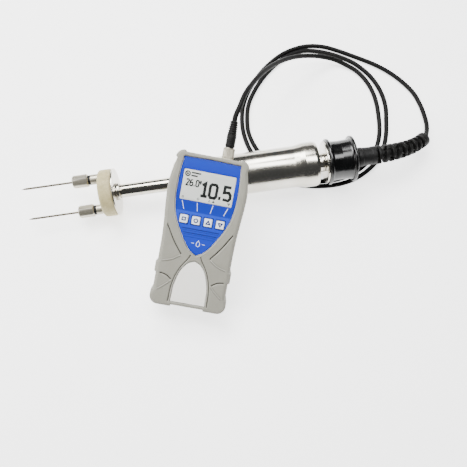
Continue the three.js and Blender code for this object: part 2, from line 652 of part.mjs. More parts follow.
meter.updateMatrixWorld(true);
const reliefEnd = reliefPath.getPointAt(1);
const reliefWay = reliefPath.getTangentAt(1).transformDirection(electrode.matrixWorld);
const plugWay = new THREE.Vector3(0, 1, 0).transformDirection(meter.matrixWorld);
const cableStart = pointIn(electrode, reliefEnd.x, reliefEnd.y, reliefEnd.z).addScaledVector(reliefWay, touchGap);
const cableEnd = pointIn(meter, socketSide, bootTop + touchGap, socketLevel);
const lay = cableRadius + 0.05;                                // height of a cable lying on the floor
const route = [
  [355.5, 28, 10.8], [359.6, 38.5, 7], [361.2, 50.5, 4.2], [361, 64, lay], [356.8, 81.4, lay],
  [346.3, 99.4, lay], [333.3, 114.4, lay], [319.8, 125.8, lay], [306.9, 134.4, lay],
  [295.6, 141.4, lay], [281.3, 150, lay], [266.8, 157.1, lay], [251.4, 160.6, lay], [235.2, 160, lay],
  [214.8, 153.3, lay], [191.4, 136.7, lay], [172.1, 114.4, lay], [161.3, 93.9, lay], [156.9, 74.9, lay],
  [156.5, 57, lay], [161, 36, lay], [170, 19, lay], [182, 4.5, lay], [197, -6.5, lay], [214, -13, lay],
  [232, -16, lay], [250, -16.2, lay], [268, -12.6, lay], [286, -3.6, lay], [302, 10.6, lay],
  [312.5, 31, lay], [318.6, 54.8, lay], [321, 68, lay], [321, 81.5, lay], [318.5, 95, lay],
  [313.6, 108, lay], [306, 120.3, lay], [297, 130.5, lay], [285.2, 139.3, lay], [271.2, 147, lay],
  [256.6, 152.5, lay], [243, 155, lay], [231, 153.6, lay], [217.3, 148.4, lay], [195.4, 132.2, lay],
  [177, 110.8, lay], [167, 92.7, lay], [162.7, 74.1, lay], [162.1, 58.3, lay], [166.5, 40.5, lay],
  [174.5, 25, lay], [185.5, 11.5, lay], [199, 1, lay], [215.3, -7.1, lay], [233, -10.4, lay],
  [251, -10.2, lay], [268, -5.8, lay], [283, 2.4, lay], [295.5, 14.6, lay], [303.8, 29, lay],
  [308.3, 43.5, lay], [310.6, 58.5, lay], [311.8, 74, lay], [310.8, 89.5, lay], [306.6, 104.5, lay],
  [299, 118.2, lay], [287.3, 128.3, 4], [273.5, 134.9, 8], [257.5, 136.7, 14], [240.7, 134, 22.5],
  [223.6, 127.8, 32.5], [207.5, 117.9, 43.5], [192.4, 104.9, 55.5], [178.7, 90, 67], [166.4, 73.5, 77],
  [156.5, 58.5, 84], [149, 44.5, 86],
];
// The coil follows the strain relief and the tail follows the plug, from where the route has them
const startShift = cableStart.clone().sub(new THREE.Vector3(346.68, 17.18, 17.2));
const endShift = cableEnd.clone().sub(new THREE.Vector3(142.08, 31.82, 81.77));
const laid = route.map(([x, y, z], i) => {
  const share = Math.max(0, (i + 1 + tailPoints - route.length) / tailPoints);
  const shift = startShift.clone().lerp(endShift, share);
  return new THREE.Vector3(x + shift.x, y + shift.y, z + shift.z * share);
});
const cablePath = new THREE.CatmullRomCurve3([
  cableStart,
  cableStart.clone().addScaledVector(reliefWay, cableStub),
  ...laid,
  cableEnd.clone().addScaledVector(plugWay, cableStub),
  cableEnd,
], false, 'centripetal');
cablePath.arcLengthDivisions = 2000;
const cableSection = new THREE.Shape(
  arc([0, 0], cableRadius, 0, 360 - 360 / cableSides, cableSides - 1).map(([a, b]) => new THREE.Vector2(a, b)));
const cable = new THREE.Mesh(
  new THREE.ExtrudeGeometry(cableSection, { steps: cableSteps, extrudePath: cablePath, bevelEnabled: false }),
  new THREE.MeshStandardMaterial(finishes.dark),
);
cable.name = 'cable';
instrument.add(cable);

// The origin is under the middle of everything but the cable and its plug
const cordNames = ['cable', 'plug_ring', 'plug_insert', 'plug_barrel', 'plug_boot'];
instrument.updateMatrixWorld(true);
const extent = new THREE.Box3();
instrument.traverse((piece) => {
  if (piece.isMesh && !cordNames.includes(piece.name)) extent.expandByObject(piece, true);
});
const middle = extent.getCenter(new THREE.Vector3());
instrument.position.set(-middle.x, -middle.y, 0);

const group = new THREE.Group();
group.add(instrument);

export default group;
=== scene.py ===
import json
import math

import bmesh
import bpy
import numpy as np
from mathutils import Matrix, Vector, geometry

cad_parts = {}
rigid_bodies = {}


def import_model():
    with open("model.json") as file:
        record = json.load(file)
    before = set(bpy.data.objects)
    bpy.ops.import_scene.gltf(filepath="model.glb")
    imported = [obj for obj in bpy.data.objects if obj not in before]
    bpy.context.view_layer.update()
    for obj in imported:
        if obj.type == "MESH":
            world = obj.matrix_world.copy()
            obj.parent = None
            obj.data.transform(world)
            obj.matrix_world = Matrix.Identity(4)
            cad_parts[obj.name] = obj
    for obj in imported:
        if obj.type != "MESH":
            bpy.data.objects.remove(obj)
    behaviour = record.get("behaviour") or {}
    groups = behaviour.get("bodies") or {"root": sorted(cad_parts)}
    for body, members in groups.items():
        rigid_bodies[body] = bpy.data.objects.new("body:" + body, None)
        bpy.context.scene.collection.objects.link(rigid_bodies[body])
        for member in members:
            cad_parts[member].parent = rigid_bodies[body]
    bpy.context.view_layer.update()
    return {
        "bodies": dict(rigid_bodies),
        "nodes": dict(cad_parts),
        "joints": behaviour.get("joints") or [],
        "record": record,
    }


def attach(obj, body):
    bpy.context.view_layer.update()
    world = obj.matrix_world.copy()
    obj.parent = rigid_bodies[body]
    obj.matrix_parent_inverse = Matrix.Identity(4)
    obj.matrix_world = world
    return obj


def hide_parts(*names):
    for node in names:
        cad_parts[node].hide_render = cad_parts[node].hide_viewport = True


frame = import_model()
mm = 0.001
jointNamed = {joint["name"]: joint for joint in frame["joints"]}


# Frames: the electrode lies along its own x axis from the face of the insulating head, and the
# meter has u across, v up and w out of its face. Both are in millimetres.

def placeFrom(xAxis, yAxis, zAxis, origin):
    place = Matrix.Identity(4)
    for column, axis in enumerate((xAxis, yAxis, zAxis)):
        place.col[column].xyz = axis * mm
    place.translation = origin
    return place


nutAt = -20                # along the electrode, where its joints turn
rearNut = Vector(jointNamed["rear_nut_turn"]["pos_m"])
frontNut = Vector(jointNamed["front_nut_turn"]["pos_m"])
alongRod = Vector(jointNamed["hammer_slide"]["axis"]).normalized()
sideways = Vector((0, 1, 0))
headFace = (rearNut + frontNut) / 2 - alongRod * nutAt * mm
electrodePlace = placeFrom(alongRod, sideways, alongRod.cross(sideways), headFace)

plugTurnAt = Vector((13, 78, 16.5))
upFace = -Vector(jointNamed["battery_door_slide"]["axis"]).normalized()
outOfFace = -Vector(jointNamed["key_select_press"]["axis"]).normalized()
meterPlace = placeFrom(upFace.cross(outOfFace), upFace, outOfFace, Vector())
meterPlace.translation = Vector(jointNamed["plug_ring_turn"]["pos_m"]) - meterPlace.to_3x3() @ plugTurnAt


# Camera, floor and light

camera = {
    "lens": 38.5,
    "sensor": 36,
    "distance": 508,
    "fromVertical": 16.3,      # degrees
    "swing": 8.14,             # degrees to the left of straight on
    "target": (127.9, -60.3, 20),
}


def addCamera():
    onFloor = Vector((headFace.x, headFace.y, 0))
    target = onFloor + Vector(camera["target"]) * mm
    tip = math.radians(camera["fromVertical"])
    swing = math.radians(camera["swing"])
    outward = Vector((-math.sin(swing) * math.sin(tip), -math.cos(swing) * math.sin(tip), math.cos(tip)))
    lens = bpy.data.cameras.new("productCamera")
    lens.lens = camera["lens"]
    lens.sensor_width = camera["sensor"]
    lens.clip_start = 0.01
    eye = bpy.data.objects.new("productCamera", lens)
    eye.location = target + outward * camera["distance"] * mm
    eye.rotation_euler = outward.to_track_quat("Z", "Y").to_euler()
    bpy.context.scene.collection.objects.link(eye)
    bpy.context.scene.camera = eye


def addSoftbox(name, place, size, power, aim=(0, 0, 0)):
    box = bpy.data.lights.new(name, "AREA")
    box.shape = "RECTANGLE"
    box.size, box.size_y = size
    box.energy = power
    lamp = bpy.data.objects.new(name, box)
    lamp.location = place
    lamp.rotation_euler = (Vector(place) - Vector(aim)).to_track_quat("Z", "Y").to_euler()
    bpy.context.scene.collection.objects.link(lamp)


def linear(hexText, alpha=1):
    channels = [int(hexText[i:i + 2], 16) / 255 for i in (1, 3, 5)]
    return [c / 12.92 if c <= 0.04045 else ((c + 0.055) / 1.055) ** 2.4 for c in channels] + [alpha]


def addNode(tree, kind, inputs=(), **settings):
    node = tree.nodes.new(kind)
    for key, value in settings.items():
        setattr(node, key, value)
    for key, value in dict(inputs).items():
        if isinstance(value, bpy.types.NodeSocket):
            tree.links.new(value, node.inputs[key])
        else:
            node.inputs[key].default_value = value
    return node


def compute(tree, operation, *values):
    return addNode(tree, "ShaderNodeMath", enumerate(values), operation=operation).outputs[0]


def addStudio():
    world = bpy.data.worlds.new("studio")
    world.use_nodes = True
    world.node_tree.nodes["Background"].inputs["Color"].default_value = linear("#dfe3ea")
    world.node_tree.nodes["Background"].inputs["Strength"].default_value = 0.1
    bpy.context.scene.world = world
    addSoftbox("keySoftbox", (-0.25, 0.8, 1.1), (1.1, 0.5), 30)
    addSoftbox("topSoftbox", (0.15, 0.25, 1.3), (1.2, 0.4), 20)
    addSoftbox("fillSoftbox", (-1.1, -0.1, 0.8), (0.5, 0.9), 12)


addCamera()
addStudio()
print("camera and lights set")


# Materials. Patterns read the piece's own "local" millimetres, or Object coordinates on CAD nodes.

def surface(name, facts):
    material = bpy.data.materials.new(name)
    material.use_nodes = True
    tree = material.node_tree
    shader = tree.nodes["Principled BSDF"]
    if facts.get("onCad"):
        where = addNode(tree, "ShaderNodeTexCoord").outputs["Object"]
        where = addNode(tree, "ShaderNodeVectorMath", {0: where, 3: 1000}, operation="SCALE").outputs[0]
    else:
        where = addNode(tree, "ShaderNodeAttribute", attribute_name="local").outputs["Vector"]
    patches = addNode(tree, "ShaderNodeTexNoise", {
        "Vector": where, "Scale": 1 / facts["patch"], "Detail": 4, "Roughness": 0.6})
    tone = addNode(tree, "ShaderNodeMapRange", {
        "Value": patches.outputs["Fac"], "From Min": 0.35, "From Max": 0.65}, clamp=True).outputs[0]
    paint = addNode(tree, "ShaderNodeMix", {
        0: tone, 6: linear(facts["colour"]), 7: linear(facts["variation"])}, data_type="RGBA").outputs[2]
    if "speckle" in facts:
        dots = addNode(tree, "ShaderNodeTexNoise", {
            "Vector": where, "Scale": 1 / facts["speckleSize"], "Detail": 3, "Roughness": 0.7})
        few = addNode(tree, "ShaderNodeMapRange", {
            "Value": dots.outputs["Fac"], "From Min": 0.58, "From Max": 0.66,
            "To Max": facts["speckleAmount"]}, clamp=True).outputs[0]
        paint = addNode(tree, "ShaderNodeMix", {
            0: few, 6: paint, 7: linear(facts["speckle"])}, data_type="RGBA").outputs[2]
    # painted highlight: convex edges, found by pointiness, are mixed towards the lighter edge colour, as if they
    # catch the light
    if "edge" in facts:
        point = addNode(tree, "ShaderNodeNewGeometry").outputs["Pointiness"]
        edgeHighlightMask = addNode(tree, "ShaderNodeMapRange", {
            "Value": point, "From Min": 0.52, "From Max": 0.6,
            "To Max": facts["edgeHighlightAmount"]}, clamp=True).outputs[0]
        paint = addNode(tree, "ShaderNodeMix", {
            0: edgeHighlightMask, 6: paint, 7: linear(facts["edge"])}, data_type="RGBA").outputs[2]
    # painted shade: hollows and grooves, found by low pointiness, are mixed towards a dark colour
    if "hollow" in facts:
        point = addNode(tree, "ShaderNodeNewGeometry").outputs["Pointiness"]
        cavityShadeMask = addNode(tree, "ShaderNodeMapRange", {
            "Value": point, "From Min": 0.495, "From Max": 0.455,
            "To Max": facts["hollowAmount"]}, clamp=True).outputs[0]
        paint = addNode(tree, "ShaderNodeMix", {
            0: cavityShadeMask, 6: paint, 7: linear(facts["hollow"])}, data_type="RGBA").outputs[2]
    if "paint" in facts:
        paint = facts["paint"](tree, where, paint)
    tree.links.new(paint, shader.inputs["Base Color"])
    rough = addNode(tree, "ShaderNodeMapRange", {
        "Value": patches.outputs["Fac"], "From Min": 0.3, "From Max": 0.7,
        "To Min": facts["roughness"][0], "To Max": facts["roughness"][1]}, clamp=True).outputs[0]
    tree.links.new(rough, shader.inputs["Roughness"])
    if facts.get("toolLines"):
        # fine rings left by the lathe, along the piece's own x
        along = addNode(tree, "ShaderNodeSeparateXYZ", {0: where}).outputs["X"]
        height = addNode(tree, "ShaderNodeTexNoise", {
            "W": along, "Scale": 1 / facts["grain"], "Detail": 3, "Roughness": 0.6},
            noise_dimensions="1D").outputs["Fac"]
    else:
        height = addNode(tree, "ShaderNodeTexNoise", {
            "Vector": where, "Scale": 1 / facts["grain"], "Detail": 3, "Roughness": 0.55}).outputs["Fac"]
    bump = addNode(tree, "ShaderNodeBump", {
        "Height": height, "Distance": facts["depth"] * mm, "Strength": 1})
    tree.links.new(bump.outputs[0], shader.inputs["Normal"])
    shader.inputs["Metallic"].default_value = facts.get("metallic", 0)
    if "ior" in facts:
        shader.inputs["IOR"].default_value = facts["ior"]
    shader.inputs["Specular IOR Level"].default_value = facts.get("specular", 0.5)
    shader.inputs["Coat Weight"].default_value = facts.get("coat", 0)
    shader.inputs["Coat Roughness"].default_value = facts.get("coatRoughness", 0.03)
    return material


# Shapes

def softCorners(profile, radius, closed=False, steps=4):
    softened = []
    last = len(profile) - 1
    for i, corner in enumerate(profile):
        if not closed and i in (0, last):
            softened.append(Vector(corner))
            continue
        here = Vector(corner)
        back = Vector(profile[i - 1]) - here
        ahead = Vector(profile[(i + 1) % (last + 1)]) - here
        reach = min(radius / math.tan(back.angle(ahead) / 2 + 1e-6), back.length * 0.45, ahead.length * 0.45)
        start = here + back.normalized() * reach
        end = here + ahead.normalized() * reach
        for k in range(steps + 1):
            t = k / steps
            softened.append(start * (1 - t) ** 2 + here * 2 * t * (1 - t) + end * t * t)
    return softened


def finishPiece(name, mesh, body, material, stands, sharp=40):
    mesh.name = name
    piece = bpy.data.objects.new(name, mesh)
    bpy.context.scene.collection.objects.link(piece)
    mesh.materials.clear()
    mesh.materials.append(material)
    mesh.shade_smooth()
    mesh.set_sharp_from_angle(angle=math.radians(sharp))
    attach(piece, body)
    if stands:
        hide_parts(*stands)
    return piece


def meshFrom(points, faces, place):
    # points are local millimetres, kept in the attribute "local"
    mesh = bpy.data.meshes.new("piece")
    mesh.from_pydata([place @ Vector(point) for point in points], [], faces)
    solid = bmesh.new()
    solid.from_mesh(mesh)
    bmesh.ops.recalc_face_normals(solid, faces=solid.faces)
    solid.to_mesh(mesh)
    solid.free()
    kept = mesh.attributes.new("local", "FLOAT_VECTOR", "POINT")
    kept.data.foreach_set("vector", np.array(points, dtype=np.float32).ravel())
    return mesh


def turnedShape(profile, sides=96, closed=False):
    points, rings, faces = [], [], []
    for station, radius in profile:
        if radius < 1e-6:
            rings.append([len(points)] * sides)
            points.append((station, 0, 0))
            continue
        rings.append(range(len(points), len(points) + sides))
        for k in range(sides):
            angle = 2 * math.pi * k / sides
            points.append((station, radius * math.cos(angle), radius * math.sin(angle)))
    pairs = list(zip(rings, rings[1:]))
    if closed:
        pairs.append((rings[-1], rings[0]))
    for ring, following in pairs:
        for k in range(sides):
            n = (k + 1) % sides
            face = list(dict.fromkeys((ring[k], ring[n], following[n], following[k])))
            if len(face) > 2:
                faces.append(face)
    return points, faces


def addTurned(name, profile, material, radius=0.3, closed=False, sides=96,
              place=None, body="instrument", stands=None, sharp=40):
    shape = turnedShape(softCorners(profile, radius, closed), sides, closed)
    mesh = meshFrom(*shape, electrodePlace if place is None else place)
    return finishPiece(name, mesh, body, material, stands or [name], sharp)


def ringProfile(start, end, outer, inner):
    return [(start, inner), (start, outer), (end, outer), (end, inner)]


# Geometry Nodes: one tree carries a section along a path, one sets copies of a piece on a path

def newTree(name, fields):
    tree = bpy.data.node_groups.new(name, "GeometryNodeTree")
    tree.interface.new_socket("Geometry", in_out="INPUT", socket_type="NodeSocketGeometry")
    for label, kind in fields.items():
        tree.interface.new_socket(label, in_out="INPUT", socket_type="NodeSocket" + kind)
    tree.interface.new_socket("Geometry", in_out="OUTPUT", socket_type="NodeSocketGeometry")
    return tree, addNode(tree, "NodeGroupInput").outputs


def endTree(tree, shape, material):
    realized = addNode(tree, "GeometryNodeRealizeInstances", {0: shape})
    painted = addNode(tree, "GeometryNodeSetMaterial", {"Geometry": realized.outputs[0], "Material": material})
    addNode(tree, "NodeGroupOutput", {0: painted.outputs[0]})


def runTree(tree, start, values):
    holder = bpy.data.objects.new("holder", start)
    bpy.context.scene.collection.objects.link(holder)
    modifier = holder.modifiers.new("nodes", "NODES")
    modifier.node_group = tree
    for item in tree.interface.items_tree:
        if item.in_out == "INPUT" and item.name in values:
            modifier[item.identifier] = values[item.name]
    grown = holder.evaluated_get(bpy.context.evaluated_depsgraph_get())
    mesh = bpy.data.meshes.new_from_object(grown)
    bpy.data.objects.remove(holder)
    return mesh


def lineMesh(points):
    mesh = bpy.data.meshes.new("path")
    mesh.from_pydata(points, [(i, i + 1) for i in range(len(points) - 1)], [])
    return mesh


def tubeTree():
    tree, given = newTree("tubeAlongPath", {"Radius": "Float", "Sides": "Int", "Material": "Material"})
    line = addNode(tree, "GeometryNodeMeshToCurve", {0: given["Geometry"]})
    section = addNode(tree, "GeometryNodeCurvePrimitiveCircle", {
        "Resolution": given["Sides"], "Radius": given["Radius"]})
    swept = addNode(tree, "GeometryNodeCurveToMesh", {
        0: line.outputs[0], 1: section.outputs[0], "Fill Caps": True})
    endTree(tree, swept.outputs[0], given["Material"])
    return tree


def copiesTree():
    tree, given = newTree("copiesAlongPath", {
        "Copy": "Object", "Count": "Int", "Turn": "Float", "End Size": "Float", "Material": "Material"})
    line = addNode(tree, "GeometryNodeMeshToCurve", {0: given["Geometry"]})
    places = addNode(tree, "GeometryNodeCurveToPoints", {0: line.outputs[0], "Count": given["Count"]})
    number = addNode(tree, "GeometryNodeInputIndex").outputs[0]
    last = compute(tree, "SUBTRACT", given["Count"], 1)
    share = compute(tree, "DIVIDE", number, compute(tree, "MAXIMUM", last, 1))
    shrink = compute(tree, "MULTIPLY", share, compute(tree, "SUBTRACT", given["End Size"], 1))
    piece = addNode(tree, "GeometryNodeObjectInfo", {"Object": given["Copy"]})
    copies = addNode(tree, "GeometryNodeInstanceOnPoints", {
        "Points": places.outputs["Points"], "Instance": piece.outputs["Geometry"],
        "Rotation": places.outputs["Rotation"], "Scale": compute(tree, "ADD", shrink, 1)})
    spin = addNode(tree, "ShaderNodeCombineXYZ", {"Z": compute(tree, "MULTIPLY", number, given["Turn"])})
    turned = addNode(tree, "GeometryNodeRotateInstances", {
        "Instances": copies.outputs[0], "Rotation": spin.outputs[0], "Local Space": True})
    endTree(tree, turned.outputs[0], given["Material"])
    return tree


tubeAlongPath = tubeTree()
copiesAlongPath = copiesTree()


def catmullRom(points, perSpan):
    # centripetal, through every point
    points = [points[0] * 2 - points[1]] + points + [points[-1] * 2 - points[-2]]
    line = []
    for before, start, end, after in zip(points, points[1:], points[2:], points[3:]):
        a = (start - before).length ** 0.5
        b = (end - start).length ** 0.5
        c = (after - end).length ** 0.5
        leave = ((start - before) / a - (end - before) / (a + b) + (end - start) / b) * b
        arrive = ((end - start) / b - (after - start) / (b + c) + (after - end) / c) * b
        for k in range(perSpan):
            t = k / perSpan
            line.append(start * (2 * t ** 3 - 3 * t * t + 1) + leave * (t ** 3 - 2 * t * t + t)
                        + end * (3 * t * t - 2 * t ** 3) + arrive * (t ** 3 - t * t))
    return line + [points[-2]]


# Cable jacket: extruded PVC, near black, with a low sheen that streaks along its bends, and a painted highlight,
# a lighter colour, on its convex edges
cableJacket = surface("cableJacketPvc", {
    "colour": "#060606", "variation": "#0b0a09", "patch": 9, "grain": 0.35, "depth": 0.012,
    "roughness": (0.56, 0.66), "specular": 0.16, "edge": "#1a1917", "edgeHighlightAmount": 0.2, "onCad": True})

cable = {
    "radius": 2.5,
    "sides": 28,
    "stub": 4,                 # straight length at each end
    "perSpan": 8,
    "reliefGap": 0.3,
    "plugEnd": (13, 109.5, 16.5),
    # from the strain relief, in metres, measured from the floor under the head's face
    "route": [
        (0.3555, 0.0280, 0.0108), (0.3596, 0.0385, 0.0070), (0.3612, 0.0505, 0.0042), (0.3610, 0.0640, 0.00255),
        (0.3568, 0.0814, 0.00255), (0.3463, 0.0994, 0.00255), (0.3333, 0.1144, 0.00255),
        (0.3198, 0.1258, 0.00255), (0.3069, 0.1344, 0.00255), (0.2956, 0.1414, 0.00255),
        (0.2813, 0.1500, 0.00255), (0.2668, 0.1571, 0.00255), (0.2514, 0.1606, 0.00255),
        (0.2352, 0.1600, 0.00255), (0.2148, 0.1533, 0.00255), (0.1914, 0.1367, 0.00255),
        (0.1721, 0.1144, 0.00255), (0.1613, 0.0939, 0.00255), (0.1569, 0.0749, 0.00255),
        (0.1565, 0.0570, 0.00255), (0.1610, 0.0360, 0.00255), (0.1700, 0.0190, 0.00255),
        (0.1820, 0.0045, 0.00255), (0.1970, -0.0065, 0.00255), (0.2140, -0.0130, 0.00255),
        (0.2320, -0.0160, 0.00255), (0.2500, -0.0162, 0.00255), (0.2680, -0.0126, 0.00255),
        (0.2860, -0.0036, 0.00255), (0.3020, 0.0106, 0.00255), (0.3125, 0.0310, 0.00255),
        (0.3186, 0.0548, 0.00255), (0.3210, 0.0680, 0.00255), (0.3210, 0.0815, 0.00255),
        (0.3185, 0.0950, 0.00255), (0.3136, 0.1080, 0.00255), (0.3060, 0.1203, 0.00255),
        (0.2970, 0.1305, 0.00255), (0.2852, 0.1393, 0.00255), (0.2712, 0.1470, 0.00255),
        (0.2566, 0.1525, 0.00255), (0.2430, 0.1550, 0.00255), (0.2310, 0.1536, 0.00255),
        (0.2173, 0.1484, 0.00255), (0.1954, 0.1322, 0.00255), (0.1770, 0.1108, 0.00255),
        (0.1670, 0.0927, 0.00255), (0.1627, 0.0741, 0.00255), (0.1621, 0.0583, 0.00255),
        (0.1665, 0.0405, 0.00255), (0.1745, 0.0250, 0.00255), (0.1855, 0.0115, 0.00255),
        (0.1990, 0.0010, 0.00255), (0.2153, -0.0071, 0.00255), (0.2330, -0.0104, 0.00255),
        (0.2510, -0.0102, 0.00255), (0.2680, -0.0058, 0.00255), (0.2830, 0.0024, 0.00255),
        (0.2955, 0.0146, 0.00255), (0.3038, 0.0290, 0.00255), (0.3083, 0.0435, 0.00255),
        (0.3106, 0.0585, 0.00255), (0.3118, 0.0740, 0.00255), (0.3108, 0.0895, 0.00255),
        (0.3066, 0.1045, 0.00255), (0.2990, 0.1182, 0.00255), (0.2873, 0.1283, 0.0040),
        (0.2735, 0.1349, 0.0080), (0.2575, 0.1367, 0.0140), (0.2407, 0.1340, 0.0225), (0.2236, 0.1278, 0.0325),
        (0.2075, 0.1179, 0.0435), (0.1924, 0.1049, 0.0555), (0.1787, 0.0900, 0.0670), (0.1664, 0.0735, 0.0770),
        (0.1565, 0.0585, 0.0840), (0.1490, 0.0445, 0.0860),
    ],
}

strainRelief = {
    "start": 286.2,            # along the rod
    "reach": [(0, 0, 0), (20, 0, 0), (45, 5, -8), (60, 17, -15)],
    "core": 4.8,
    "ribs": 9,
    "ribRadius": (9.7, 7.7),
    "ribWidth": 3.3,
    "collarWidth": 6.6,
    "ribArc": 150,             # degrees of each of a rib's two fins
}


def reliefPath(count=48):
    corners = [Vector(point) + Vector((strainRelief["start"], 0, 0)) for point in strainRelief["reach"]]
    line = []
    for k in range(count + 1):
        t = k / count
        weights = ((1 - t) ** 3, 3 * t * (1 - t) ** 2, 3 * t * t * (1 - t), t ** 3)
        line.append(electrodePlace @ sum((w * c for w, c in zip(weights, corners)), Vector()))
    return line


reliefLine = reliefPath()
reliefWay = (reliefLine[-1] - reliefLine[-2]).normalized()


def addCable():
    onFloor = Vector((headFace.x, headFace.y, 0))
    start = reliefLine[-1] + reliefWay * cable["reliefGap"] * mm
    plugEnd = meterPlace @ Vector(cable["plugEnd"])
    stub = cable["stub"] * mm
    points = [start, start + reliefWay * stub]
    points += [onFloor + Vector(point) for point in cable["route"]]
    points += [plugEnd + upFace * stub, plugEnd]
    line = catmullRom(points, cable["perSpan"])
    mesh = runTree(tubeAlongPath, lineMesh(line), {
        "Radius": cable["radius"] * mm, "Sides": cable["sides"], "Material": cableJacket})
    piece = finishPiece("cableJacket", mesh, "instrument", cableJacket, ["cable"])
    return piece, line, start


cablePiece, cableLine, cableExit = addCable()


# Electrode

# Stainless steel: turned and polished, with faint rings from the lathe, a soft broad sheen and a painted
# highlight on its edges
turnedSteel = surface("stainlessSteelTurned", {
    "colour": "#cbc7bd", "variation": "#bdb9ae", "patch": 24, "grain": 0.12, "depth": 0.001, "toolLines": True,
    "roughness": (0.15, 0.24), "metallic": 1, "edge": "#e9e6de", "edgeHighlightAmount": 0.4})
# Rod: ground stainless, smoother than the hammer and streaked along where the bushes run on it
rodSteel = surface("stainlessSteelGround", {
    "colour": "#c6c2b6", "variation": "#b3aea2", "patch": 6, "grain": 0.5, "depth": 0.001,
    "roughness": (0.1, 0.2), "metallic": 1})
# Nickel plate over brass: brighter and a touch warm, with small handling marks and a painted highlight on its
# edges
nickelPlate = surface("nickelPlateOnBrass", {
    "colour": "#bbb5a5", "variation": "#a9a392", "patch": 3, "grain": 0.3, "depth": 0.0006,
    "roughness": (0.34, 0.44), "metallic": 1, "edge": "#efece2", "edgeHighlightAmount": 0.5})
# Needle steel: drawn wire, its point ground bright
pinSteel = surface("pinSteelDrawn", {
    "colour": "#6f675a", "variation": "#5d564a", "patch": 5, "grain": 0.15, "depth": 0.001, "toolLines": True,
    "roughness": (0.22, 0.36), "metallic": 1})
# Insulator: turned acetal, beige and matt, full of fine darker flecks, with a painted highlight on its edges
insulatorAcetal = surface("acetalInsulatorTurned", {
    "colour": "#bdb184", "variation": "#a99d70", "patch": 4, "grain": 0.25, "depth": 0.02,
    "speckle": "#857a54", "speckleSize": 0.6, "speckleAmount": 0.75,
    "roughness": (0.5, 0.66), "ior": 1.48, "edge": "#eee6d0", "edgeHighlightAmount": 0.35})
# End cap: injection-moulded black ABS with a hard gloss, faint flow marks and a painted highlight on its edges
capAbs = surface("blackAbsGloss", {
    "colour": "#030303", "variation": "#060606", "patch": 14, "grain": 1.6, "depth": 0.006,
    "roughness": (0.14, 0.26), "ior": 1.53, "edge": "#151514", "edgeHighlightAmount": 0.25})
# Gland and boot: black thermoplastic elastomer, matt with a fine spark-eroded grain and a painted highlight on
# its edges
blackElastomer = surface("blackElastomerMoulded", {
    "colour": "#060606", "variation": "#0b0a0a", "patch": 5, "grain": 0.22, "depth": 0.015,
    "roughness": (0.5, 0.62), "specular": 0.25, "edge": "#1d1c1a", "edgeHighlightAmount": 0.35})
reliefElastomer = surface("strainReliefElastomer", {
    "colour": "#060505", "variation": "#0a0a09", "patch": 5, "grain": 0.22, "depth": 0.015,
    "roughness": (0.5, 0.62), "specular": 0.22, "edge": "#1d1c1a", "edgeHighlightAmount": 0.35, "onCad": True})

head = {"radius": 24.2, "thickness": 13.8, "edge": 3.2, "backPlate": (14.1, 15.5, 24)}
rod = {"start": 4, "end": 250.7, "radius": 6.9, "bore": 4.4, "lockCollar": (15.8, 18.8, 9)}
hammer = {
    "start": 77, "end": 224.1, "radius": 21.3, "flangeRadius": 23.1, "flare": (199.2, 209.6),
    "bore": 10.1, "edge": 1.2,
}
backEnd = {
    "stopCollar": (224.4, 231.3, 9.4), "washer": (231.6, 233.5, 21.5), "cap": (233.8, 262), "capFlange": 23.7,
    "capFlangeWidth": 3.3, "capBarrel": 20.6, "glandNut": (262.3, 266.7, 11.7), "glandSleeve": (267, 285.9),
    "glandRadius": (10.1, 9.5),
}
holeRadius = 7.2


def addHead():
    thick, radius, edge = head["thickness"], head["radius"], head["edge"]
    addTurned("insulatingHead", [
        (0, 0), (0, radius), (thick, radius), (thick, 0)], insulatorAcetal, edge, sides=144,
        stands=["insulating_head"])
    start, end, outer = head["backPlate"]
    addTurned("headBackPlate", ringProfile(start, end, outer, holeRadius), turnedSteel,
              0.25, True, 144, stands=["head_back_plate"])


def addRod():
    addTurned("rodTube", ringProfile(rod["start"], rod["end"], rod["radius"], rod["bore"]), rodSteel,
              0.3, True, stands=["rod_tube"])
    start, end, outer = rod["lockCollar"]
    addTurned("lockCollar", ringProfile(start, end, outer, holeRadius), turnedSteel,
              0.4, True, stands=["lock_collar"])
    start, end, outer = backEnd["stopCollar"]
    addTurned("stopCollar", ringProfile(start, end, outer, holeRadius), turnedSteel,
              0.5, True, stands=["stop_collar"])
    start, end, outer = backEnd["washer"]
    addTurned("endWasher", ringProfile(start, end, outer, holeRadius), turnedSteel,
              0.35, True, 128, stands=["end_washer"])


def addHammer():
    start, end, radius, flange = hammer["start"], hammer["end"], hammer["radius"], hammer["flangeRadius"]
    low, high = hammer["flare"]
    bore, edge = hammer["bore"], hammer["edge"]
    addTurned("slideHammer", [
        (start, bore), (start, radius - edge), (start + edge, radius), (low, radius),
        ((low + high) / 2, radius + 0.6), (high, flange), (end - 3.7, flange), (end - 0.9, flange - 1),
        (end, flange - 3), (end, bore)], turnedSteel, 0.8, True, 160,
        body="hammer", stands=["slide_hammer"], sharp=30)


